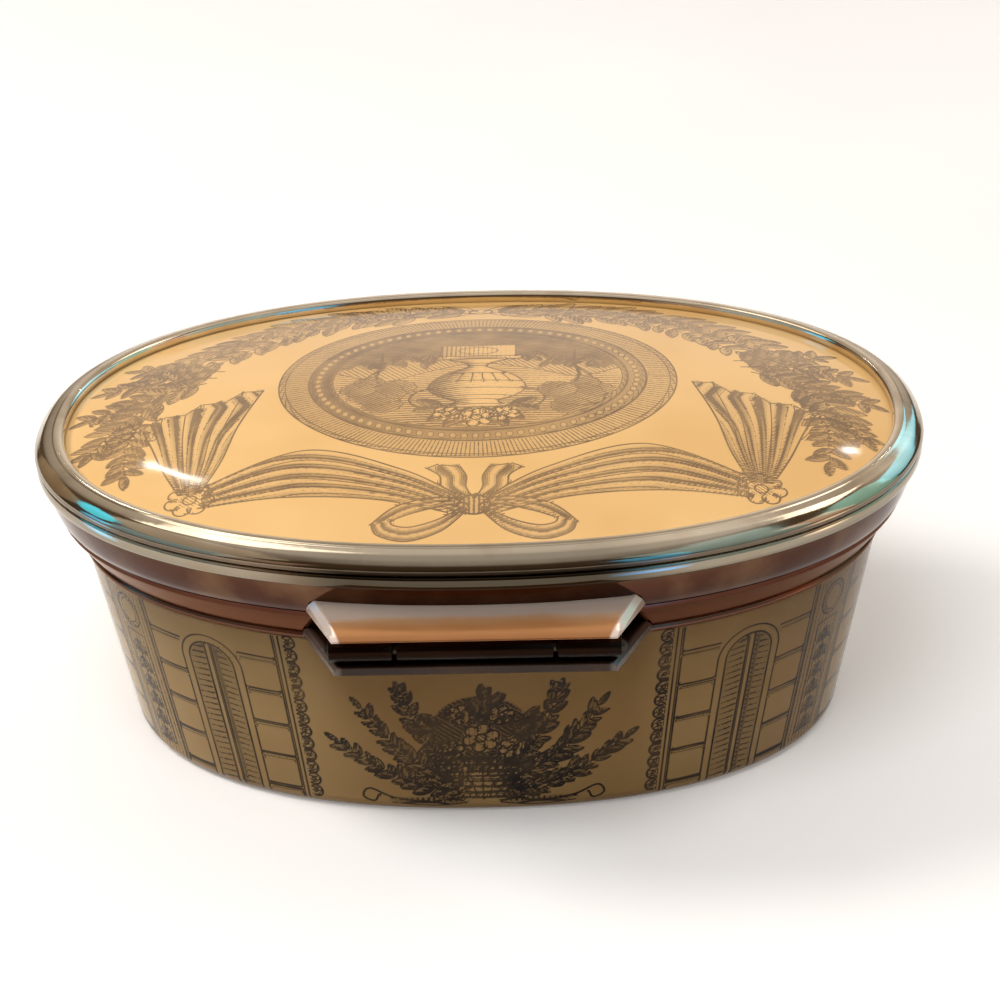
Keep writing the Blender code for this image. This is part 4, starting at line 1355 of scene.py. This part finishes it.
# Studio: a pale floor, a high lamp before the box, a lamp at each end and a dim room round it.
# A way to a lamp is in degrees: from straight behind the box towards the right, and the elevation.
studio = {
    "middle": (0, 0, 12),
    "floorColours": ("#F3F4F6", "#F9FAFC"),
    "floorLift": 0.21,
    "floorBounce": "#948268",
    "floorReach": 3.0,
    "roomDark": 0.10,
    "roomColour": "#FFCFA0",
    # Glows of the room: direction, how wide it starts and ends (as cosines), strength, colour
    "glows": (
        ((0.0, 0.05, 1.0), 0.76, 0.92, 0.50, "#FFFCF7"),
        ((0.0, 0.80, 0.60), 0.72, 0.95, 0.40, "#FFF6E8"),
        ((0.66, 0.58, 0.48), 0.93, 0.985, 0.35, "#FFF2E0"),
        ((0.0, 1.0, 0.08), 0.87, 0.985, 0.42, "#FFF4E8"),
    ),
    # Lamps, which the metal doesn't mirror: name, way, distance, size, power, colour
    "lamps": (
        ("key", -160, 62, 0.43, 0.22, 0.69, "#FFFFFF"),
        ("fill_left", -84, 44, 0.50, 0.17, 1.25, "#FFF8EE"),
        ("fill_right", 75, 50, 0.50, 0.22, 0.25, "#FFF6EA"),
    ),
    # Cards, which only reflections show: name, way, width and height as seen in degrees, radiance, colour
    "cardDistance": 1.0,
    "cards": (
        ("sheen_left", -45, 60, 19, 18, 1.9, "#FFF6E6"),
        ("sheen_right", 62, 52, 28, 13, 2.4, "#FFF4E4"),
        ("cyan_left", -78, 32, 13, 11, 1.7, "#3CD9FF"),
        ("azure_left", -90, 13, 12, 20, 2.0, "#50BEFF"),
        ("cyan_right", 48, 21, 38, 22, 1.3, "#76DBFF"),
        ("mint_right", 82, 20, 26, 42, 0.8, "#A8F0EA"),
        ("blue_front", 151, 22, 13, 34, 1.7, "#38A8E0"),
        ("teal_front", 128, 30, 32, 54, 0.6, "#C4F0F8"),
        ("slate_left", -113, 22, 40, 34, 0.85, "#94BCCC"),
        ("room_left", -105, 48, 40, 18, 0.42, "#FFF2E0"),
        ("room_side", -57, 15, 26, 28, 0.26, "#FFE0B8"),
        ("rose_left", -140, 24, 18, 26, 0.36, "#FFE0D0"),
        ("rose_right", 103, 24, 18, 34, 0.8, "#FFDCC8"),
    ),
    # The two glints on the lid: name, place, width and height in mm (none for a round one), roll, power, colour
    "glints": (
        ("strip_behind", (-159.6, 376.3, 306.0), 5, 60, 12, 0.019, "#FFF9F0"),
        ("spot_behind", (167.0, 396.5, 278.6), 5.5, None, 0, 0.005, "#FFFCF6"),
    ),
    # Small cards that stand on the floor and shine narrowly at the rim alone:
    # name, place and aim in mm, width and height in mm, power, colour
    "lowSpread": 24,
    "lowCards": (
        ("azure_low", (-58, -11.5, 9), (-24.5, -11, 19), 14, 18, 0.000055, "#20B8FF"),
        ("rose_low", (53.5, -23.4, 14.5), (20.5, -14, 19), 15, 24, 0.000062, "#FFE6CC"),
        ("azure_front", (25, -48, 7), (10.3, -19.5, 19), 13, 13, 0.000047, "#109CFF"),
    ),
}


def makeCamera():
    view = viewpoint
    turn, rise, roll = view["turn"], view["elevation"], view["roll"]
    back = Vector((sin(turn) * cos(rise), -cos(turn) * cos(rise), sin(rise)))
    right = Vector((cos(turn), sin(turn), 0))
    up = back.cross(right)
    rolledRight = right * cos(roll) + up * sin(roll)
    rolledUp = up * cos(roll) - right * sin(roll)
    camera = addObject("camera", bpy.data.cameras.new("camera"))
    eye = view["target"] + back * view["distance"]
    camera.matrix_world = Matrix(((*rolledRight, 0), (*rolledUp, 0), (*back, 0), (*eye, 1))).transposed()
    camera.data.lens = view["lens"]
    camera.data.sensor_width = view["sensor"]
    camera.data.clip_start = 1 * mm
    bpy.context.scene.camera = camera


def makeLamp(name, place, aim, size, power, colour, tall=None):
    # A round lamp, or an upright strip where it has a height too
    lamp = bpy.data.lights.new(name, "AREA")
    lamp.shape = "RECTANGLE" if tall else "DISK"
    lamp.size = size
    if tall:
        lamp.size_y = tall
    lamp.energy = power
    lamp.color = linear(colour)[:3]
    holder = addObject(name, lamp)
    holder.location = place
    holder.rotation_mode = "QUATERNION"
    holder.rotation_quaternion = (aim - place).to_track_quat("-Z", "Y")
    holder.visible_camera = False
    return holder


def makeFloor():
    reach = studio["floorReach"] / mm
    corners = [(x, y, 0) for y in (-reach, reach) for x in (-reach, reach)]
    floor = addObject("floor", newMesh("floor", corners, [(0, 1, 3, 2)]))
    floor.data.shade_smooth()
    material, tree, shader, place = newMaterial("matt_paper_sweep")
    low, high = studio["floorColours"]
    base = ramp(tree, noise(tree, place, 0.02), ((0.3, low), (0.7, high)))
    # What is seen, straight or in a mirror, is the pale paper; what lights the box is a warmer bounce
    path = addNode(tree, "ShaderNodeLightPath").outputs
    seen = maths(tree, "MAXIMUM", path["Is Camera Ray"], path["Is Glossy Ray"])
    seen = maths(tree, "MAXIMUM", seen, path["Is Transmission Ray"])
    plug(tree, shader, {
        "Base Color": mixed(tree, seen, studio["floorBounce"], base),
        "Roughness": 0.9,
        "Emission Color": "#FFFFFF",
        "Emission Strength": maths(tree, "MULTIPLY", seen, studio["floorLift"]),
    })
    floor.data.materials.append(material)


def makeRoom():
    world = bpy.data.worlds.new("studio")
    bpy.context.scene.world = world
    world.use_nodes = True
    tree = world.node_tree
    tree.nodes.clear()
    way = addNode(tree, "ShaderNodeTexCoord").outputs["Generated"]
    glow = addNode(tree, "ShaderNodeBackground", {0: studio["roomColour"], 1: studio["roomDark"]})
    for direction, start, full, strength, colour in studio["glows"]:
        inputs = {0: way, 1: tuple(Vector(direction).normalized())}
        facing = addNode(tree, "ShaderNodeVectorMath", inputs, operation="DOT_PRODUCT").outputs["Value"]
        level = remap(tree, facing, start, full, 0, strength)
        level.interpolation_type = "SMOOTHSTEP"
        side = addNode(tree, "ShaderNodeBackground", {0: colour, 1: level})
        glow = addNode(tree, "ShaderNodeAddShader", {0: glow, 1: side})
    addNode(tree, "ShaderNodeOutputWorld", {0: glow})


def makeLamps():
    middle = Vector(studio["middle"]) * mm

    def wayTo(turn, rise):
        turn, rise = radians(turn), radians(rise)
        return Vector((sin(turn) * cos(rise), cos(turn) * cos(rise), sin(rise)))
    for name, turn, rise, far, size, power, colour in studio["lamps"]:
        makeLamp(name, middle + far * wayTo(turn, rise), middle, size, power, colour).visible_glossy = False
    far = studio["cardDistance"]
    for name, turn, rise, width, height, radiance, colour in studio["cards"]:
        wide, tall = (2 * far * tan(radians(angle) / 2) for angle in (width, height))
        power = radiance * pi * wide * tall
        card = makeLamp(name, middle + far * wayTo(turn, rise), middle, wide, power, colour, tall)
        card.visible_diffuse = False
    for name, place, wide, tall, roll, power, colour in studio["glints"]:
        glint = makeLamp(name, Vector(place) * mm, middle, wide * mm, power, colour, tall and tall * mm)
        glint.rotation_quaternion = glint.rotation_quaternion @ Quaternion((0, 0, 1), radians(roll))
    for name, place, aim, wide, tall, power, colour in studio["lowCards"]:
        low = makeLamp(name, Vector(place) * mm, Vector(aim) * mm, wide * mm, power, colour, tall * mm)
        low.data.spread = radians(studio["lowSpread"])
        low.visible_diffuse = False


makeCamera()
makeFloor()
makeRoom()
makeLamps()
bpy.context.scene.view_settings.view_transform = "Standard"
print("studio made")
